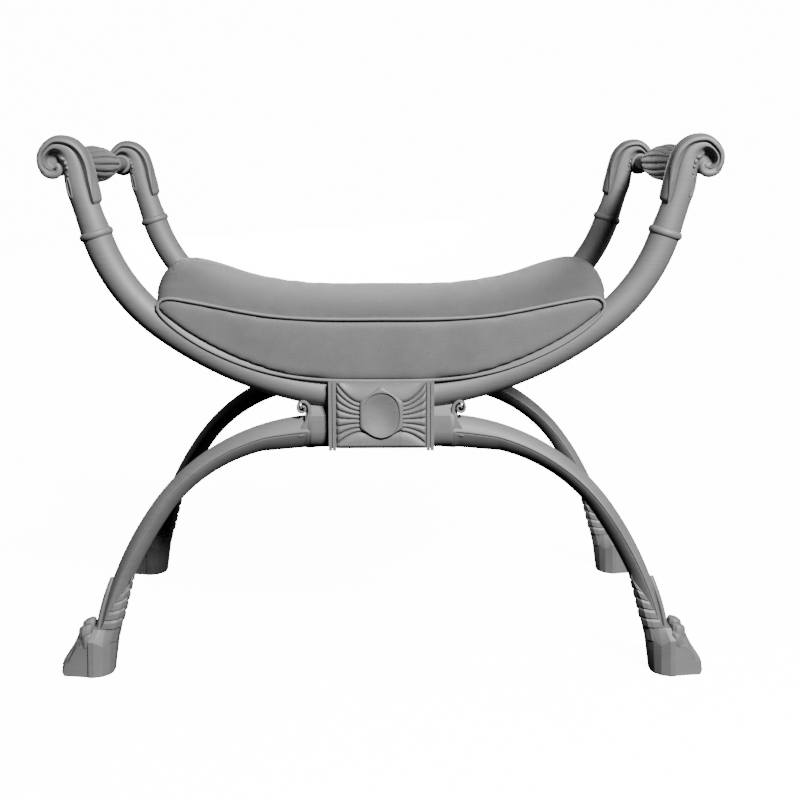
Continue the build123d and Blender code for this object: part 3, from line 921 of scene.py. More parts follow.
    def on_side(self, row: np.ndarray, inward: float, lift: float) -> np.ndarray:
        """A point on the front of the arm, by its outer side.

        Args:
            row: A station's values.
            inward: Distance in from the outer side.
            lift: Height above the surface.

        Returns:
            The point in u, y, v.
        """
        outer, inner = row[0:2], row[2:4]
        half = np.linalg.norm(outer - inner) / 2
        toward = (outer - inner) / (2 * half)
        place = inner + toward * inward
        share = min(1.0, abs(inward - half) / half)
        y = row[4] * (1 - share ** row[5]) ** (1 / row[5])
        return np.array((place[0], -y - lift, place[1]))

    def add_husk(self, shape: Shape, line: np.ndarray, side: int) -> None:
        """Add the husk and its beads, on one face.

        Args:
            shape: The shape to add to.
            line: The arm's stations, at even steps.
            side: 1 for the front face, -1 for the rear one.
        """
        along = run_lengths(line[:, 2:4])
        flip = np.array((1.0, side, 1.0))

        def station(at: float) -> np.ndarray:
            """The arm's values at a distance along its outer side."""
            return np.array([np.interp(at, along, column) for column in line.T])

        start, end = self.husk_at
        loop = []
        for turn in np.linspace(0, 2 * math.pi, 48, endpoint=False):
            at = (start + end) / 2 - (end - start) / 2 * math.cos(turn)
            lean = math.sin(turn)
            beside = self.husk_half * math.copysign(abs(lean) ** self.husk_fullness, lean)
            loop.append(self.on_side(station(at), self.husk_in + beside, self.husk_proud) * flip)
        shape.tube(np.array(loop), np.full(len(loop), self.husk_rim), 10, closed=True)
        for at, inward, long, wide, turned in self.husk_beads:
            ahead, behind = (self.on_side(station(at + step), inward, 0.0) for step in (2.0, -2.0))
            ahead = ahead - behind
            heading = math.atan2(ahead[2], ahead[0]) + math.radians(turned)
            spot = self.on_side(station(at), inward, self.husk_proud) * flip
            shape.egg(spot, (math.cos(heading), 0.0, math.sin(heading)), (long, wide, wide))

    def build(self) -> None:
        """Build the four arms."""
        shape = Shape()
        line = spline(self.stations, self.rings)
        travelled = run_lengths(line[:, :2])
        shape.skin(np.array([self.section(row, at - self.leaf_start) for row, at in zip(line, travelled)]))
        joint = middle("front_right_collar")
        axis = middle("right_grip_bar")
        eye = (axis[0] - joint[0], axis[2] - joint[2])
        shape.turned(self.web, (eye[0] + self.web_offset, eye[1] + self.web_offset))
        snail = spline(self.snail, 90, 3)
        shape.tube(snail[:, :3], snail[:, 3])
        y, radius, rim = self.cup_rim
        shape.turned([*self.cup_side, *rounding(y, radius, rim, rim, 0.0), *self.cup_floor], eye)
        for side in (1, -1):
            self.add_husk(shape, line, side)
        *place, radius = self.knob
        shape.egg(place, (0.0, 0.0, 1.0), (radius, radius, radius))
        dress_corners(shape.moved(joint), "carved_arm", "scroll_arm", self.finish)


# ------------------------------------------------------------------------------ grip bars
@dataclass
class GripBar:
    """Gadrooned spindle between the volutes of a side."""

    finish: bpy.types.Material
    lobes: int = 14
    full_radius: float = 26.0
    neck_radius: float = 9.4
    bulb_half: float = 150.0
    # depth of the valleys, as a share of a lobe's half width, and how far round a lobe's arc reaches
    lobe_relief: float = 0.62
    lobe_reach: float = 0.985
    lobe_fade: float = 16.0
    # the ring at either end of the bulb: how far into the bulb it starts, half length and height
    ring_in: float = 6.0
    ring_half: float = 3.2
    ring_proud: float = 0.4
    ring_high: float = 2.6
    ring_core: float = 3.0
    neck_swell: float = 0.6
    neck_swell_at: float = 40.0
    stations: int = 121
    around: int = 14 * 12

    def build(self) -> None:
        """Build both bars."""
        axis = middle("right_grip_bar")
        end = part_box("right_grip_bar")[1][1] / MM
        centre = (axis[0], axis[2])
        rise = self.full_radius - self.neck_radius
        arc = (self.bulb_half ** 2 + rise ** 2) / (2 * rise)
        ys = np.linspace(-self.bulb_half, self.bulb_half, self.stations)
        radii = np.sqrt(arc ** 2 - ys ** 2) - arc + self.full_radius
        turn = np.linspace(0, 2 * math.pi, self.around, endpoint=False)
        across = np.abs((turn * self.lobes / (2 * math.pi)) % 1.0 * 2 - 1)
        valley = 1 - np.sqrt(1 - (self.lobe_reach * across) ** 2)
        rings = []
        for y, radius in zip(ys, radii):
            fade = ease((self.bulb_half - abs(y)) / self.lobe_fade)
            r = radius * (1 - self.lobe_relief * math.pi / self.lobes * valley * fade)
            ring = (centre[0] + r * np.cos(turn), np.full_like(turn, y), centre[1] + r * np.sin(turn))
            rings.append(np.stack(ring, axis=1))
        shape = Shape()
        shape.skin(np.array(rings))
        start = self.bulb_half - self.ring_in
        for side in (-1, 1):
            y, radius = side * (start + self.ring_in), self.neck_radius + self.ring_proud
            ring = rounding(y, radius, side * self.ring_half, self.ring_high, -math.pi / 2)
            far = side * (start + self.ring_in + self.ring_half + 0.8)
            shape.turned([(side * start, self.ring_core), *ring, (far, self.ring_core)], centre)
            neck = (
                (side * start, self.neck_radius),
                (side * (start + self.neck_swell_at), self.neck_radius + self.neck_swell),
                (side * end, self.neck_radius),
            )
            shape.turned(neck, centre)
        for hand in Hand:
            name = hand.name.lower()
            bar = shape.made(f"{name}_gadrooned_grip", hand, Row.FRONT, 50.0)
            dress(bar, self.finish, Body.FRAME, [f"{name}_grip_bar"])


# ------------------------------------------------------------------------------ legs
@dataclass
class Leg:
    """Arched leg: a strap laid over a rounded bar, its upper end rolled into a small curl."""

    finish: bpy.types.Material
    # each side of the leg is two tangent arcs: centre x, z, radius, first and last turn from upright
    upper: Rows = ((68.1, 62.0, 276.8, 0.0, 53.9), (-67.4, -36.7, 444.5, 53.9, 80.4))
    lower: Rows = ((99.1, 83.7, 212.2, 14.2, 56.1), (-203.1, -119.5, 576.4, 56.1, 74.4))
    flat_start: tuple[float, float] = (64.0, 297.0)
    rings: int = 150
    half_depth: float = 17.0
    strap_round: float = 1.45
    under_round: float = 1.4
    # extra points by the strap's edge, in radians from it, and where the even ones end
    edge_turns: tuple[float, ...] = (-0.12, -0.08, -0.05, -0.025, 0.0, 0.025, 0.05, 0.08, 0.12)
    edge_clear: float = 0.16
    # the strap's share of the leg's height, from the block to the foot
    strap_share: Rows = ((0.0, 0.48), (0.45, 0.47), (0.7, 0.42), (0.85, 0.37), (1.0, 0.30))
    # the middle of its start, the length over which it rises, and its height over the bar
    strap_start: float = 94.0
    strap_rise: float = 4.0
    strap_proud: float = 1.3
    groove: float = 1.1
    groove_width: float = 0.8
    # the root in the block: half its outline across, its ends, and how it narrows behind the curl
    root_side: Rows = (
        (0.0, 354.6), (5.2, 354.0), (8.6, 348.0), (17.0, 338.6), (17.4, 319.0), (16.2, 311.5),
        (12.0, 303.5), (6.0, 298.2), (0.0, 296.0),
    )
    root_ends: tuple[float, float] = (60.0, 96.0)
    root_middle: float = 338.0
    root_fall: float = 7.0
    root_tuck: float = 0.5
    # the curl, a strip: x, z, half thickness
    curl: Rows = (
        (104.0, 313.0, 2.0), (99.6, 316.5, 4.8), (95.8, 322.5, 5.4), (92.6, 330.0, 4.2), (90.7, 338.0, 2.8),
        (90.3, 346.0, 2.0), (92.7, 353.0, 1.8), (98.2, 356.4, 1.8), (103.2, 354.2, 1.7), (105.2, 348.8, 1.6),
        (102.8, 343.6, 1.5), (98.4, 342.9, 1.4), (95.8, 346.2, 1.4), (97.0, 350.0, 1.3), (100.0, 350.2, 1.3),
        (101.0, 348.0, 1.3),
    )
    curl_half: float = 15.5
    curl_bevel: float = 0.8

    def side_line(self, arcs: Rows, start: tuple[float, float] | None, count: int) -> np.ndarray:
        """Points down one side of the leg, from the block to the foot.

        Args:
            arcs: The side's arcs.
            start: Where a straight run before the first arc begins, if there is one.
            count: How many points.

        Returns:
            The points in x, z, at even turns of the outer arcs.
        """
        first, bend, last = arcs[0][3], arcs[0][4], arcs[-1][4]

        def on_arc(turn: float) -> np.ndarray:
            """The point of the arcs at a turn from upright."""
            x, z, radius = (arcs[0] if turn <= bend else arcs[1])[:3]
            a = math.radians(turn)
            return np.array((x + radius * math.sin(a), z + radius * math.cos(a)))

        points = []
        for turn in np.linspace(0, last, count):
            if start is not None and turn < first:
                points.append(np.array(start) + (on_arc(first) - np.array(start)) * turn / first)
            else:
                points.append(on_arc(turn))
        return np.array(points)

    def section(self, top: np.ndarray, bottom: np.ndarray, share: float, strap: float) -> np.ndarray:
        """One ring of the leg.

        Args:
            top: Point of the upper side, in x, z.
            bottom: Point of the underside.
            share: Share of the leg's height that the strap covers.
            strap: How far the strap has risen from the bar, 0 to 1.

        Returns:
            The ring's points in x, y, z.
        """
        height = np.linalg.norm(top - bottom)
        toward = (top - bottom) / height
        widest = top - toward * share * height
        edge = math.pi / 2
        turns = np.concatenate((
            np.linspace(0, edge - self.edge_clear, 16),
            edge + np.array(self.edge_turns),
            np.linspace(edge + self.edge_clear, math.pi, 16),
        ))
        above = turns <= edge
        power = np.where(above, 2 / self.strap_round, 2 / self.under_round)
        reach = np.where(above, share * height, (1 - share) * height)
        n = reach * np.sign(np.cos(turns)) * np.abs(np.cos(turns)) ** power
        n[np.abs(turns - edge) < TINY] = 0.0
        y = self.half_depth * np.abs(np.sin(turns)) ** power
        y[0] = y[-1] = 0.0
        run = run_lengths(np.stack((n, y), axis=1))
        back = np.interp(edge, turns, run) - run
        out_n, out_y = outward(n, y, turns)
        lift = np.where(back > 0, 0.0, -self.strap_proud * ease(0.2 - back))
        lift = (lift - self.groove * np.exp(-(back / self.groove_width) ** 2)) * strap
        return whole_ring(widest, toward, n + out_n * lift, y + out_y * lift)

    def add_root(self, shape: Shape) -> None:
        """Add the root that the strap starts from.

        Args:
            shape: The shape to add to.
        """
        side = np.array(self.root_side)
        across, up = np.concatenate((side * (-1, 1), side[-2:0:-1])).T
        start, end = self.root_ends
        root = []
        for x in np.linspace(start, end, 12):
            tuck = 1 - self.root_tuck * ease((x - end + self.root_fall) / self.root_fall)
            z = self.root_middle + (up - self.root_middle) * (0.35 + 0.65 * tuck)
            root.append(np.stack((np.full(len(up), x), across * (0.6 + 0.4 * tuck), z), axis=1))
        shape.skin(np.array(root))

    def add_curl(self, shape: Shape) -> None:
        """Add the curl at the strap's upper end.

        Args:
            shape: The shape to add to.
        """
        curl = spline(self.curl, 120, 2)
        tangent = np.gradient(curl[:, :2], axis=0)
        tangent /= np.linalg.norm(tangent, axis=1)[:, None]
        half, bevel = self.curl_half, self.curl_bevel
        strip = []
        for (x, z, thick), (tx, tz) in zip(curl, tangent):
            low, high = -thick, thick
            profile = [
                (-half, low + bevel), (-half + bevel, low), (half - bevel, low), (half, low + bevel),
                (half, high - bevel), (half - bevel, high), (-half + bevel, high), (-half, high - bevel),
            ]
            strip.append([(x - tz * t, y, z + tx * t) for y, t in profile])
        shape.skin(np.array(strip))

    def build(self) -> None:
        """Build the four legs."""
        shape = Shape()
        tops = self.side_line(self.upper, None, self.rings)
        bottoms = self.side_line(self.lower, self.flat_start, self.rings)
        places, shares = zip(*self.strap_share)
        rings = []
        for i, (top, bottom) in enumerate(zip(tops, bottoms)):
            share = float(np.interp(i / (self.rings - 1), places, shares))
            strap = ease((top[0] - self.strap_start + self.strap_rise / 2) / self.strap_rise)
            rings.append(self.section(top, bottom, share, strap))
        shape.skin(np.array(rings))
        self.add_root(shape)
        self.add_curl(shape)
        moved = shape.moved((0.0, middle("front_rail")[1], 0.0))
        dress_corners(moved, "strapped_leg", "leg", self.finish, 40.0)


# ------------------------------------------------------------------------------ paw feet
@dataclass
class PawFoot:
    """Lion's paw with a ridged sheath round the ankle."""

    finish: bpy.types.Material
    # height, inner x, outer x of the sheath's front edge, half depth
    sheath: Rows = (
        (44.0, 342.6, 366.0, 21.6), (53.0, 340.6, 366.0, 22.0), (61.8, 338.4, 361.5, 22.0),
        (73.7, 334.8, 355.6, 21.8), (85.6, 331.2, 348.6, 21.2), (97.5, 327.6, 341.6, 20.2),
        (109.4, 324.0, 333.0, 18.4), (121.0, 320.8, 323.6, 15.0),
    )
    rings: int = 200
    # plan of the sheath's inner corner: distance from the inner side, and share of the half depth
    corner_plan: Rows = ((0.0, 0.0), (0.0, 0.66), (5.4, 0.93), (12.0, 1.0))
    ridge_low: float = 61.8
    ridge_pitch: float = 11.9
    ridge_count: int = 5
    ridge_rise: float = 8.0
    ridge_relief: float = 1.5
    # shares of a ridge's pitch: its lower step, and where it starts to fall back
    ridge_step: float = 0.07
    ridge_crest: float = 0.62
    # the wing on the outer side: x of its middle, height, half depth, half thickness
    wing: Rows = (
        (371.0, 44.0, 15.0, 2.6), (367.0, 66.0, 15.0, 2.6), (362.4, 86.0, 12.5, 2.4),
        (356.4, 106.0, 8.5, 2.1), (350.0, 125.0, 2.0, 1.2),
    )
    wing_root: float = 2.2
    # heel block, from the seam round the heel to its middle: x and distance from the middle plane
    # of the foot, at the floor, at the corner above the upright faces and at the neck, with heights
    heel_foot: Rows = ((377.0, 33.0), (370.6, 33.2), (359.4, 28.6), (352.2, 19.4), (348.6, 9.0))
    heel_corner: Rows = (
        (376.0, 33.0, 48.0), (369.2, 33.0, 47.6), (358.8, 27.8, 39.5), (349.6, 20.2, 43.8),
        (342.6, 12.0, 46.0),
    )
    heel_neck: Rows = (
        (371.0, 22.4, 61.8), (364.0, 22.4, 61.8), (356.0, 22.3, 61.6), (344.4, 20.6, 61.2),
        (339.2, 12.6, 61.0),
    )
    # the heel's bevel along the floor: its height and the width left under it
    heel_bevel: tuple[float, float] = (1.6, 0.97)
    # the toe block's side view, half its width at the back and the tip, its reach and its height
    toe_side: Rows = (
        (373.0, 0.0), (414.6, 0.0), (416.0, 3.5), (414.6, 12.0), (411.4, 18.0), (406.4, 22.0),
        (401.8, 27.0), (397.2, 38.0), (393.0, 48.0), (388.0, 54.0), (382.0, 57.0), (373.0, 54.0),
    )
    toe_half: float = 31.0
    toe_tip_half: float = 24.0
    toe_back: float = 373.0
    toe_reach: float = 43.0
    toe_height: float = 52.0
    # how far its top and its tip fall back towards the sides
    toe_drop: float = 0.26
    toe_pull: float = 0.10
    # place across, x of the knuckle, its top, its radius, and the tip's x
    toes: Rows = (
        (0.0, 379.4, 69.4, 8.8, 413.0),
        (14.0, 381.2, 65.6, 9.4, 411.5),
        (25.0, 377.6, 57.0, 7.2, 405.0),
    )
    # a knuckle's rings, in radii: depth below its top and size; then its lean and the tilt of its top
    knuckle: Rows = ((2.4, 0.80), (1.5, 1.0), (0.5, 1.0), (0.18, 0.86), (0.0, 0.62))
    knuckle_lean: float = 0.10
    knuckle_tilt: float = 0.16

    def build_sheath(self, shape: Shape) -> None:
        """Add the ankle's sheath with its overlapping ridges, and the wing on its outer side.

        Args:
            shape: The shape to add to.
        """
        line = spline(self.sheath, self.rings, 1)
        corner = np.array(self.corner_plan)
        rings = []
        for z, inner, outer, half in line:
            reach = min(1.0, (outer - inner) / (corner[-1, 0] + 2.0))
            front_x = np.linspace(outer, inner + corner[-1, 0] * reach, 7)[:-1]
            xs = np.concatenate((front_x, inner + corner[::-1, 0] * reach))
            ys = np.concatenate((np.full(len(front_x), half), half * corner[::-1, 1]))
            inward = np.clip((outer - xs) / max(outer - inner, 1.0), 0, 1)
            wrap = 1 - ys / half
            tilt = np.clip((z - self.ridge_low) / (self.ridge_count * self.ridge_pitch), 0, 1)
            rise = self.ridge_rise * (tilt * inward ** 1.5 + 0.5 * wrap)
            phase = (z - self.ridge_low) / self.ridge_pitch
            saw = phase - math.floor(phase)
            proud = ease(saw / self.ridge_step) - ease((saw - self.ridge_crest) / (1 - self.ridge_crest))
            bulge = self.ridge_relief * proud if 0.0 <= phase <= self.ridge_count else 0.0
            xs = xs - bulge * inward
            ys = ys * (half + bulge) / half
            zs = z + rise * (z > self.ridge_low - 1.0)
            front = crisp(np.stack((xs, -ys, zs), axis=1), 0.12)
            rings.append(np.concatenate((front, (front * (1, -1, 1))[-2::-1])))
        shape.skin(np.array(rings))
        turn = np.linspace(0, 2 * math.pi, 24, endpoint=False)
        blades = []
        for x, z, half, thick in spline(self.wing, 40, 2):
            xs = x - self.wing_root + (thick + self.wing_root) * np.cos(turn)
            blades.append(np.stack((xs, half * np.sin(turn), np.full_like(turn, z)), axis=1))
        shape.skin(np.array(blades))

    def build_heel(self, shape: Shape) -> None:
        """Add the faceted heel block.

        Args:
            shape: The shape to add to.
        """
        foot = np.array(self.heel_foot)
        high, narrow = self.heel_bevel
        levels = (
            np.column_stack((foot * (1.0, narrow), np.zeros(len(foot)))),
            np.column_stack((foot, np.full(len(foot), high))),
            np.array(self.heel_corner),
            np.array(self.heel_neck),
        )
        rings = [np.concatenate((level * (1, -1, 1), level[::-1])) for level in levels]
        rings = crisp(np.array(rings), 0.04)
        shape.skin(np.swapaxes(crisp(np.swapaxes(rings, 0, 1)), 0, 1))

    def build_toes(self, shape: Shape) -> None:
        """Add the toe block, with knuckles and tendons.

        Args:
            shape: The shape to add to.
        """
        side = np.array(self.toe_side)
        ahead = np.clip((side[:, 0] - self.toe_back) / self.toe_reach, 0, 1)
        wide = self.toe_half + (self.toe_tip_half - self.toe_half) * ahead
        high = np.clip(side[:, 1] / self.toe_height, 0, 1)
        rings = []
        for across in np.linspace(-1, 1, 15):
            drop = 1 - self.toe_drop * abs(across) ** 3 * high
            pull = 1 - self.toe_pull * abs(across) ** 3 * (ahead > 0.7)
            x = self.toe_back + (side[:, 0] - self.toe_back) * pull
            rings.append(np.stack((x, across * wide, side[:, 1] * drop), axis=1))
        shape.skin(np.array(rings))
        for across, *toe in self.toes:
            for hand in ((-1, 1) if across else (1,)):
                self.add_toe(shape, hand * across, *toe)

    def add_toe(self, shape: Shape, y: float, x: float, top: float, radius: float, tip: float) -> None:
        """Add a toe's knuckle and its tendon.

        Args:
            shape: The shape to add to.
            y: The toe's place across the foot.
            x: The knuckle's place along the foot.
            top: The knuckle's height.
            radius: Its radius.
            tip: Place of the toe's tip along the foot.
        """
        turn = np.linspace(0, 2 * math.pi, 10, endpoint=False)
        head = []
        for below, size in self.knuckle:
            z = top - below * radius
            xs = x + radius * size * np.cos(turn) + self.knuckle_lean * (top - z)
            zs = z - self.knuckle_tilt * radius * np.cos(turn)
            head.append(np.stack((xs, y + radius * size * np.sin(turn), zs), axis=1))
        shape.skin(np.array(head))
        path = [
            (x + 2.0, y, top - 0.9 * radius, 0.62 * radius),
            (x + 8.0, y * 0.98, top - 2.0 * radius, 0.55 * radius),
            (0.5 * (x + tip), y * 0.95, 0.52 * top, 0.46 * radius),
            (tip - 6.0, y * 0.9, 19.0, 0.50 * radius),
            (tip - 0.5, y * 0.88, 11.0, 0.45 * radius),
        ]
        line = spline(path, 36, 3)
        shape.tube(line[:, :3], np.maximum(line[:, 3], 0.5), 10)

    def build(self) -> None:
        """Build the four feet."""
        shape = Shape()
        self.build_sheath(shape)
        self.build_heel(shape)
        self.build_toes(shape)
        moved = shape.moved((0.0, middle("front_rail")[1], 0.0))
        dress_corners(moved, "lion_paw", "paw_foot", self.finish, 24.0)


# ------------------------------------------------------------------------------ carved blocks
@dataclass
class CarvedTablet:
    """Panel on the face of a block: gadroons that fan out from a dished medallion."""

    finish: bpy.types.Material
    # the reeds: half their span, the fan's whole height and its drop, at the root and at the tip
    lobes: int = 7
    root_x: float = 27.0
    tip_x: float = 56.0
    root_span: float = 37.0
    tip_span: float = 77.0
    root_drop: float = 3.2
    tip_drop: float = -1.3
    fan: float = 1.7
    # their height and its share at the root, how square they are, how far they reach under the
    # medallion, and the lengths of their rounded ends
    relief: float = 4.6
    root_relief: float = 0.75
    lobe_square: float = 2.4
    root_under: float = 3.0
    root_round: float = 4.0
    tip_round: float = 5.0
    # the pillows above and below them: height, roll at the reeds, fall towards the panel's edge
    pillow_relief: float = 4.4
    pillow_roll: float = 5.0
    pillow_fall: float = 0.62
    pillow_end: float = 4.0
    # the lower one: its roll as a multiple, the rounding of its edge, and its dip and the dip's half width
    lower_roll: float = 2.2
    lower_edge: float = 3.5
    lower_dip: float = 0.3
    lower_dip_half: float = 24.0
    lip: float = 3.0
    # hollow under the medallion, so that its dish stays clear: half width, half height, drop
    seat_reach: tuple[float, float] = (23.0, 29.0)
    seat_drop: float = 2.6
    pitch: float = 0.6
    ground: float = 0.3

    def height(self, x: np.ndarray, z: np.ndarray, half_height: float) -> np.ndarray:
        """Height of the carving above the block's face.

        Args:
            x: Distance from the upright middle line.
            z: Height above the panel's middle.
            half_height: Half the panel's height.

        Returns:
            The height at each point.
        """
        out = np.clip((x - self.root_x) / (self.tip_x - self.root_x), 0, 1) ** self.fan
        spread = self.root_span + (self.tip_span - self.root_span) * out
        level = z + self.root_drop + (self.tip_drop - self.root_drop) * out
        lane = level / spread * self.lobes + self.lobes / 2
        number = np.clip(np.floor(lane), 0, self.lobes - 1)
        off = np.clip(np.abs(lane - number - 0.5) * 2, 0, 1)
        start = self.root_x - self.root_under
        ends = np.minimum((x - start) / self.root_round, (self.tip_x - x) / self.tip_round)
        inside = (np.abs(level) < spread / 2) & (x > start) & (x < self.tip_x)
        full = self.relief * (self.root_relief + (1 - self.root_relief) * out)
        round_top = np.clip(1 - off ** self.lobe_square, 0, 1) ** 0.5
        lobe = full * round_top * rounded_start(ends) * inside
        gap = np.clip(np.abs(level) - spread / 2, 0, None)
        room = np.maximum(half_height - np.abs(z) + gap, 1.0)
        fall = (gap - self.pillow_roll) / np.maximum(room - self.pillow_roll, 1.0)
        upper = rounded_start(gap / self.pillow_roll) * (1 - self.pillow_fall * ease(fall))
        edge = rounded_start((half_height - np.abs(z)) / self.lower_edge)
        dip = 1 - self.lower_dip * np.clip(1 - x / self.lower_dip_half, 0, 1) ** 0.5
        lower = rounded_start(gap / (self.lower_roll * self.pillow_roll)) * edge * dip
        pillow = self.pillow_relief * np.where(z > 0, upper, lower)
        pillow = pillow * rounded_start((self.tip_x - x) / self.pillow_end)
        seat = np.hypot(x / self.seat_reach[0], (z + self.seat_drop) / self.seat_reach[1])
        pillow = pillow * (seat > 1)
        return self.ground + np.maximum(lobe, np.where(inside, 0.0, pillow))

    def build(self) -> None:
        """Build both tablets."""
        low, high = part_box("front_tablet")
        face = high[1] / MM
        left, right = low[0] / MM, high[0] / MM
        bottom, top = low[2] / MM - self.lip, high[2] / MM
        centre = (low[2] + high[2]) / (2 * MM)
        xs = np.linspace(left, right, int((right - left) / self.pitch))
        zs = np.linspace(bottom, top, int((top - bottom) / self.pitch))
        grid_x, grid_z = np.meshgrid(xs, zs)
        rise = self.height(np.abs(grid_x), grid_z - centre, (top - bottom) / 2)
        rows, columns = grid_x.shape
        front, back = (
            np.stack((grid_x, face - height, grid_z), axis=2).reshape(-1, 3)
            for height in (rise, np.zeros_like(rise))
        )
        size = rows * columns
        faces = []
        for i in range(rows - 1):
            for j in range(columns - 1):
                a = i * columns + j
                faces.append((a, a + 1, a + columns + 1, a + columns))
                faces.append((size + a, size + a + columns, size + a + columns + 1, size + a + 1))
        rim = list(range(columns)) + [i * columns + columns - 1 for i in range(1, rows)]
        rim += [size - 1 - j for j in range(1, columns)] + [i * columns for i in range(rows - 2, 0, -1)]
        for a, b in zip(rim, rim[1:] + rim[:1]):
            faces.append((a, size + a, size + b, b))
        shape = Shape()
        shape.add(np.concatenate((front, back)), faces)
        dress_rows(shape, "gadrooned_tablet", "tablet", self.finish, 40.0)


@dataclass
class Medallion:
    """Six-sided boss with a dished field."""

    finish: bpy.types.Material
    half_width: float = 27.2
    above: float = 37.2
    below: float = 30.4
    side_half: float = 17.4
    drop: float = 2.6
    dish: tuple[float, float] = (22.4, 27.6)
    corner_sharpness: float = 22.0
    dish_sharpness: float = 2.35
    # share of the way from the middle to the dish's rim and on to the edge, and height
    profile: Rows = (
        (0.04, 0.9), (0.25, 1.2), (0.5, 2.1), (0.75, 3.5), (0.93, 4.9), (0.97, 5.0), (1.0, 5.3),
        (1.06, 6.4), (1.25, 6.8), (1.5, 6.7), (1.8, 6.1), (1.92, 5.2), (1.98, 4.2), (2.0, 3.0), (2.0, -0.5),
    )
    around: int = 144

    def edge(self, turn: np.ndarray) -> np.ndarray:
        """Distance from the middle to the six-sided edge.

        Args:
            turn: Directions in radians.

        Returns:
            The distances.
        """
        tip = np.where(np.sin(turn) > 0, self.above, self.below)
        across, up = tip - self.side_half, np.full_like(tip, self.half_width)
        size = np.hypot(across, up)
        across, up = across / size, up / size
        reach = up * tip
        c, s = np.abs(np.cos(turn)), np.abs(np.sin(turn))
        p = self.corner_sharpness
        flats = (c / self.half_width) ** p
        slants = (np.abs(across * c + up * s) / reach) ** p + (np.abs(up * s - across * c) / reach) ** p
        return (flats + slants) ** (-1 / p)

    def build(self) -> None:
        """Build both medallions."""
        low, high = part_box("front_medallion")
        face = high[1] / MM
        centre = (low[2] + high[2]) / (2 * MM) - self.drop
        turn = np.linspace(0, 2 * math.pi, self.around, endpoint=False)
        c, s = np.cos(turn), np.sin(turn)
        p = self.dish_sharpness
        rim = ((np.abs(c) / self.dish[0]) ** p + (np.abs(s) / self.dish[1]) ** p) ** (-1 / p)
        edge = self.edge(turn)
        rings = []
        for share, height in self.profile:
            radius = rim * share if share <= 1 else rim + (edge - rim) * (share - 1)
            rings.append(upright(np.stack((radius * c, centre + radius * s), axis=1), face - height))
        shape = Shape()
        shape.skin(np.array(rings))
        dress_rows(shape, "dished_medallion", "medallion", self.finish, 50.0)


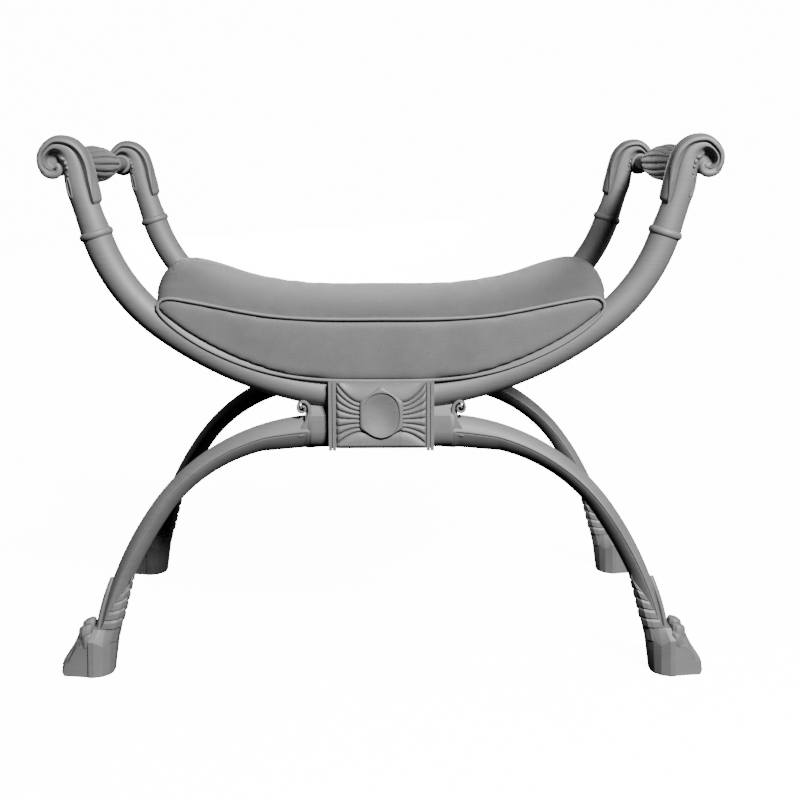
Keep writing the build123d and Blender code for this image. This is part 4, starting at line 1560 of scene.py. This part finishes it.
# ------------------------------------------------------------------------------ cushion
@dataclass
class Cushion:
    """Loose saddle cushion: two piped end panels and a crowned top."""

    cover: bpy.types.Material
    cord: bpy.types.Material
    half_depth: float = 251.0
    # half of the end panel's outline, from the middle of its top round to the middle of its bottom
    panel: Rows = (
        (0.0, 461.0), (70.6, 461.2), (108.6, 462.8), (146.5, 466.6), (184.0, 473.2), (222.3, 480.8),
        (250.0, 486.0), (264.0, 487.4), (274.0, 484.2), (277.6, 476.5), (273.0, 466.5), (264.3, 457.3),
        (241.9, 439.6), (223.1, 427.8), (185.4, 409.6), (147.5, 396.6), (109.4, 388.6), (71.1, 384.6),
        (36.0, 383.6), (0.0, 383.4),
    )
    # the same at mid depth, point for point
    crown: Rows = (
        (0.0, 474.0), (74.0, 474.8), (114.0, 477.0), (154.0, 482.4), (196.0, 491.0), (236.0, 507.0),
        (266.0, 517.6), (283.0, 518.6), (294.6, 509.4), (297.2, 492.0), (292.5, 475.0), (281.0, 461.0),
        (257.0, 439.0), (236.0, 424.0), (195.0, 402.0), (156.0, 387.0), (116.0, 378.0), (75.0, 374.8),
        (38.0, 374.6), (0.0, 374.6),
    )
    bow: float = 2.3
    around: int = 160
    along: int = 60
    cord_radius: float = 2.1
    cord_in: float = 0.4
    # the seat that it lies on: radius of the rail's arc, and what is kept clear of it
    rail_arc: float = 456.5
    clear: float = 0.6
    rail_clear: float = 0.8
    # what is held while it fills: the seams, and the underside above the seat's arc
    seam_hold: float = 9.0
    rest_centre: float = 818.7
    rest_radius: float = 436.0
    rest_near: float = 6.0
    rest_fade: float = 14.0
    # the filling
    voxel: float = 6.0
    frames: int = 20
    most_swell: float = 16.0
    cloth: Sequence[tuple[str, Any]] = (
        ("quality", 5),
        ("mass", 0.4),
        ("tension_stiffness", 20.0),
        ("compression_stiffness", 20.0),
        ("shear_stiffness", 10.0),
        ("bending_stiffness", 2.0),
        ("use_pressure", True),
        ("uniform_pressure_force", 4.0),
        ("vertex_group_mass", "held"),
    )

    def outline(self, share: float) -> np.ndarray:
        """The cushion's outline at one place across its depth.

        Args:
            share: 0 at an end panel, 1 at mid depth.

        Returns:
            The closed outline in x, z.
        """
        rows = np.array(self.panel) * (1 - share) + np.array(self.crown) * share
        right = spline(rows, self.around // 2 + 1)
        left = right[-2:0:-1] * (-1, 1)
        return np.concatenate((right, left))

    def start_shape(self) -> Shape:
        """The cushion before it is filled.

        Returns:
            A closed shape.
        """
        shape = Shape()
        rings = []
        for share in np.linspace(-1, 1, self.along):
            rings.append(upright(self.outline(1 - abs(share) ** self.bow), share * self.half_depth))
        shape.skin(np.array(rings))
        return shape

    def clear_seat(self, points: np.ndarray) -> np.ndarray:
        """Lift the underside clear of the rails, the blocks and the slats.

        Args:
            points: Points in millimetres.

        Returns:
            The points, moved up where they were too low.
        """
        frame_y = abs(middle("front_rail")[1])
        rail_low, rail_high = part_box("front_rail")
        block_low, block_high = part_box("front_block")
        rail_radius = (rail_high[1] - rail_low[1]) / (2 * MM)
        seat_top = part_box("seat_slat_5")[1][2] / MM + self.clear
        arc_centre = rail_low[2] / MM + rail_radius + self.rail_arc
        seat_radius = arc_centre - seat_top
        out = points.copy()
        x = np.minimum(np.abs(out[:, 0]), seat_radius - 1)
        floor = arc_centre - np.sqrt(seat_radius ** 2 - x ** 2)
        beside = np.abs(np.abs(out[:, 1]) - frame_y)
        reach = rail_radius + self.rail_clear
        over = beside < reach
        bar_radius = self.rail_arc - np.sqrt(np.maximum(reach ** 2 - beside ** 2, 0))
        rail_top = arc_centre - np.sqrt(np.maximum(bar_radius ** 2 - x ** 2, 1.0))
        floor = np.where(over, np.maximum(floor, rail_top), floor)
        block_half = (block_high[1] - block_low[1]) / (2 * MM)
        on_block = (x < block_high[0] / MM + self.clear) & (beside < block_half + self.clear)
        floor = np.where(on_block, np.maximum(floor, block_high[2] / MM + self.clear), floor)
        out[:, 2] = np.maximum(out[:, 2], floor)
        return out

    def seams(self) -> np.ndarray:
        """Both seams of the end panels, as points in millimetres."""
        outline = self.outline(0.0)
        return np.concatenate([upright(outline, side * self.half_depth) for side in (-1, 1)])

    def hold_weights(self, points: np.ndarray) -> np.ndarray:
        """How firmly each point is held while the cushion fills.

        Args:
            points: Points in millimetres.

        Returns:
            1 on the seams and the underside, 0 on the free parts.
        """
        seams = self.seams()
        nearest = np.full(len(points), 1e9)
        for start in range(0, len(seams), 40):
            gap = np.linalg.norm(points[:, None] - seams[None, start:start + 40], axis=2).min(axis=1)
            nearest = np.minimum(nearest, gap)
        hold = 1 - ease((nearest - self.seam_hold) / self.seam_hold)
        seat = self.rest_centre - np.sqrt(np.maximum(self.rest_radius ** 2 - points[:, 0] ** 2, 0))
        under = 1 - ease((points[:, 2] - seat - self.rest_near) / self.rest_fade)
        return np.maximum(hold, under)

    def filled(self, cushion: bpy.types.Object) -> None:
        """Fill the cushion by simulation.

        Args:
            cushion: The object whose mesh is filled.
        """
        remesh = cushion.modifiers.new("remesh", "REMESH")
        remesh.mode = "VOXEL"
        remesh.voxel_size = self.voxel * MM
        self.apply(cushion)
        mesh = cushion.data
        rest = coordinates(mesh)
        hold = self.hold_weights(rest)
        group = cushion.vertex_groups.new(name="held")
        for index, weight in enumerate(hold):
            group.add([index], float(weight), "REPLACE")
        cloth = cushion.modifiers.new("cloth", "CLOTH")
        for name, value in self.cloth:
            setattr(cloth.settings, name, value)
        cloth.settings.effector_weights.gravity = 0.0
        cloth.collision_settings.use_self_collision = False
        cloth.point_cache.frame_start = 1
        cloth.point_cache.frame_end = self.frames
        scene = bpy.context.scene
        for frame in range(1, self.frames + 1):
            scene.frame_set(frame)
        swollen = cushion.evaluated_get(bpy.context.evaluated_depsgraph_get())
        shift = coordinates(swollen.data) - rest
        cushion.modifiers.clear()
        scene.frame_set(1)
        far = np.linalg.norm(shift, axis=1)
        log.info("cushion swelled by up to %.1f mm", far.max())
        shift *= np.minimum(1.0, self.most_swell / np.maximum(far, TINY))[:, None] * (1 - hold)[:, None]
        points = self.clear_seat(rest + shift)
        mesh.vertices.foreach_set("co", (points * MM).ravel())
        mesh.update()

    @staticmethod
    def apply(piece: bpy.types.Object) -> None:
        """Turn a piece's modifiers into its mesh."""
        graph = bpy.context.evaluated_depsgraph_get()
        mesh = bpy.data.meshes.new_from_object(piece.evaluated_get(graph))
        piece.modifiers.clear()
        piece.data = mesh

    def build(self) -> None:
        """Build the cushion and its piping."""
        cushion = self.start_shape().made("saddle_cushion", sharp=180.0)
        self.filled(cushion)
        smooth = cushion.modifiers.new("smooth", "SMOOTH")
        smooth.factor = 0.5
        smooth.iterations = 2
        self.apply(cushion)
        subdivide = cushion.modifiers.new("subdivide", "SUBSURF")
        subdivide.levels = subdivide.render_levels = 1
        self.apply(cushion)
        cushion.data.shade_smooth()
        dress(cushion, self.cover, Body.CUSHION, ["cushion_cover", "cushion_pad"])
        line = upright(self.outline(0.0), self.cord_in - self.half_depth)
        for row in Row:
            shape = Shape()
            shape.tube(line, np.full(len(line), self.cord_radius), 14, closed=True)
            cord = shape.made(f"{row.name.lower()}_piping", Hand.RIGHT, row, 60.0)
            dress(cord, self.cord, Body.CUSHION, [])


# ------------------------------------------------------------------------------ plain pieces
@dataclass
class PlainPieces:
    """Pieces of the frame that keep their own meshes."""

    paint: bpy.types.Material
    beech: bpy.types.Material
    painted: tuple[str, ...] = ("rail", "collar", "block", "stretcher")
    bare: tuple[str, ...] = ("seat_slat", "arm_dowels")

    def build(self) -> None:
        """Give each of them its finish."""
        for words, finish in ((self.painted, self.paint), (self.bare, self.beech)):
            for name, piece in frame["nodes"].items():
                if any(word in name for word in words):
                    piece.data.materials.clear()
                    piece.data.materials.append(finish)
                    log.info("%s: %s", name, finish.name)


# ------------------------------------------------------------------------------ studio
@dataclass
class Studio:
    """Pale sweep, soft lights and the camera."""

    camera_at: tuple[float, float, float] = (0.0, -2.0069, 0.6525)
    camera_tilt: float = 80.52
    camera_roll: float = 0.17
    lens: float = 64.0
    sensor: float = 36.0
    clip: tuple[float, float] = (0.05, 50.0)
    shift_x: float = 0.02425
    sweep_colour: Colour = (0.80, 0.80, 0.80)
    sweep_glow: float = 14.0
    sweep_front: float = -4.0
    sweep_back: float = 3.0
    sweep_bend: float = 1.5
    bend_steps: int = 12
    sweep_half: float = 6.0
    sweep_top: float = 6.0
    light_distance: float = 4.0
    light_aim: float = 0.4
    # name, degrees to the right of straight in front, degrees above the horizon, watts, size
    lights: Sequence[tuple[str, float, float, float, float]] = (
        ("key", 24.0, 36.0, 520.0, 0.8),
        ("fill", -115.0, 8.0, 9.0, 1.6),
        ("kicker", 118.0, 8.0, 16.0, 1.6),
        ("back", 184.0, 2.0, 90.0, 1.6),
    )
    world_level: float = 0.006

    def build(self) -> None:
        """Set up the camera, the lights, the sweep and the surroundings."""
        scene = bpy.context.scene
        data = bpy.data.cameras.new("camera")
        data.lens = self.lens
        data.sensor_width = self.sensor
        data.shift_x = self.shift_x
        data.clip_start, data.clip_end = self.clip
        camera = bpy.data.objects.new("camera", data)
        camera.location = self.camera_at
        camera.rotation_euler = (math.radians(self.camera_tilt), math.radians(self.camera_roll), 0.0)
        scene.collection.objects.link(camera)
        scene.camera = camera
        for light in self.lights:
            self.light(*light)
        world = bpy.data.worlds.new("room")
        world.use_nodes = True
        inputs = world.node_tree.nodes["Background"].inputs
        inputs["Color"].default_value = (1.0, 1.0, 1.0, 1.0)
        inputs["Strength"].default_value = self.world_level
        scene.world = world
        self.sweep()

    def sweep(self) -> None:
        """Add a pale floor that bends up into a backdrop, and throws no light back."""
        recipe = Recipe("pale_sweep")
        tone = recipe.noise(3.0, 2.0)
        shade = tuple(0.97 * c for c in self.sweep_colour)
        finish = recipe.surface({
            "Base Color": recipe.blend(tone, shade, self.sweep_colour),
            "Roughness": 0.9,
            "Emission Color": (1.0, 1.0, 1.0, 1.0),
            "Emission Strength": self.sweep_glow,
        })
        line = [(self.sweep_front, 0.0)]
        for step in range(self.bend_steps + 1):
            turn = math.radians(90 / self.bend_steps * step)
            y = self.sweep_back + self.sweep_bend * math.sin(turn)
            line.append((y, self.sweep_bend * (1 - math.cos(turn))))
        line.append((self.sweep_back + self.sweep_bend, self.sweep_top))
        points = [(x, y, z) for y, z in line for x in (-self.sweep_half, self.sweep_half)]
        faces = [(2 * i, 2 * i + 1, 2 * i + 3, 2 * i + 2) for i in range(len(line) - 1)]
        mesh = bpy.data.meshes.new("floor")
        mesh.from_pydata(points, [], faces)
        mesh.shade_smooth()
        floor = bpy.data.objects.new("floor", mesh)
        floor.data.materials.append(finish)
        finish.cycles.emission_sampling = "NONE"
        floor.visible_diffuse = False
        floor.visible_glossy = False
        bpy.context.scene.collection.objects.link(floor)

    def light(self, name: str, azimuth: float, elevation: float, power: float, size: float) -> None:
        """Add a soft square light that faces the stool.

        Args:
            name: The light's name.
            azimuth: Degrees to the right of straight in front.
            elevation: Degrees above the horizon.
            power: Watts.
            size: Length of its sides in metres.
        """
        data = bpy.data.lights.new(name, "AREA")
        data.energy = power
        data.size = size
        lamp = bpy.data.objects.new(name, data)
        a, e = math.radians(azimuth), math.radians(elevation)
        towards = Vector((math.sin(a) * math.cos(e), -math.cos(a) * math.cos(e), math.sin(e)))
        lamp.location = Vector((0, 0, self.light_aim)) + towards * self.light_distance
        lamp.rotation_euler = towards.to_track_quat("Z", "Y").to_euler()
        bpy.context.scene.collection.objects.link(lamp)


def main() -> None:
    """Build the stool around its frame."""
    logging.basicConfig(level=logging.INFO, format="%(name)s: %(message)s")
    Studio().build()
    carved = PaintedWood("carved_paint", light=grey(0.115), dark=grey(0.092), edge_wear_and_shade=True).material()
    paint = PaintedWood("frame_paint", light=grey(0.115), dark=grey(0.092)).material()
    beech = BareBeech("plain_beech", light=(0.42, 0.31, 0.20), dark=(0.30, 0.20, 0.12)).material()
    leather = SoftLeather("cover_leather", light=grey(0.108), dark=grey(0.092)).material()
    piping = SoftLeather("piping_leather", light=grey(0.16), dark=grey(0.135)).material()
    PlainPieces(paint, beech).build()
    ScrollArm(carved).build()
    GripBar(carved).build()
    Leg(paint).build()
    PawFoot(carved).build()
    CarvedTablet(carved).build()
    Medallion(carved).build()
    Cushion(leather, piping).build()


if __name__ == "__main__":
    main()
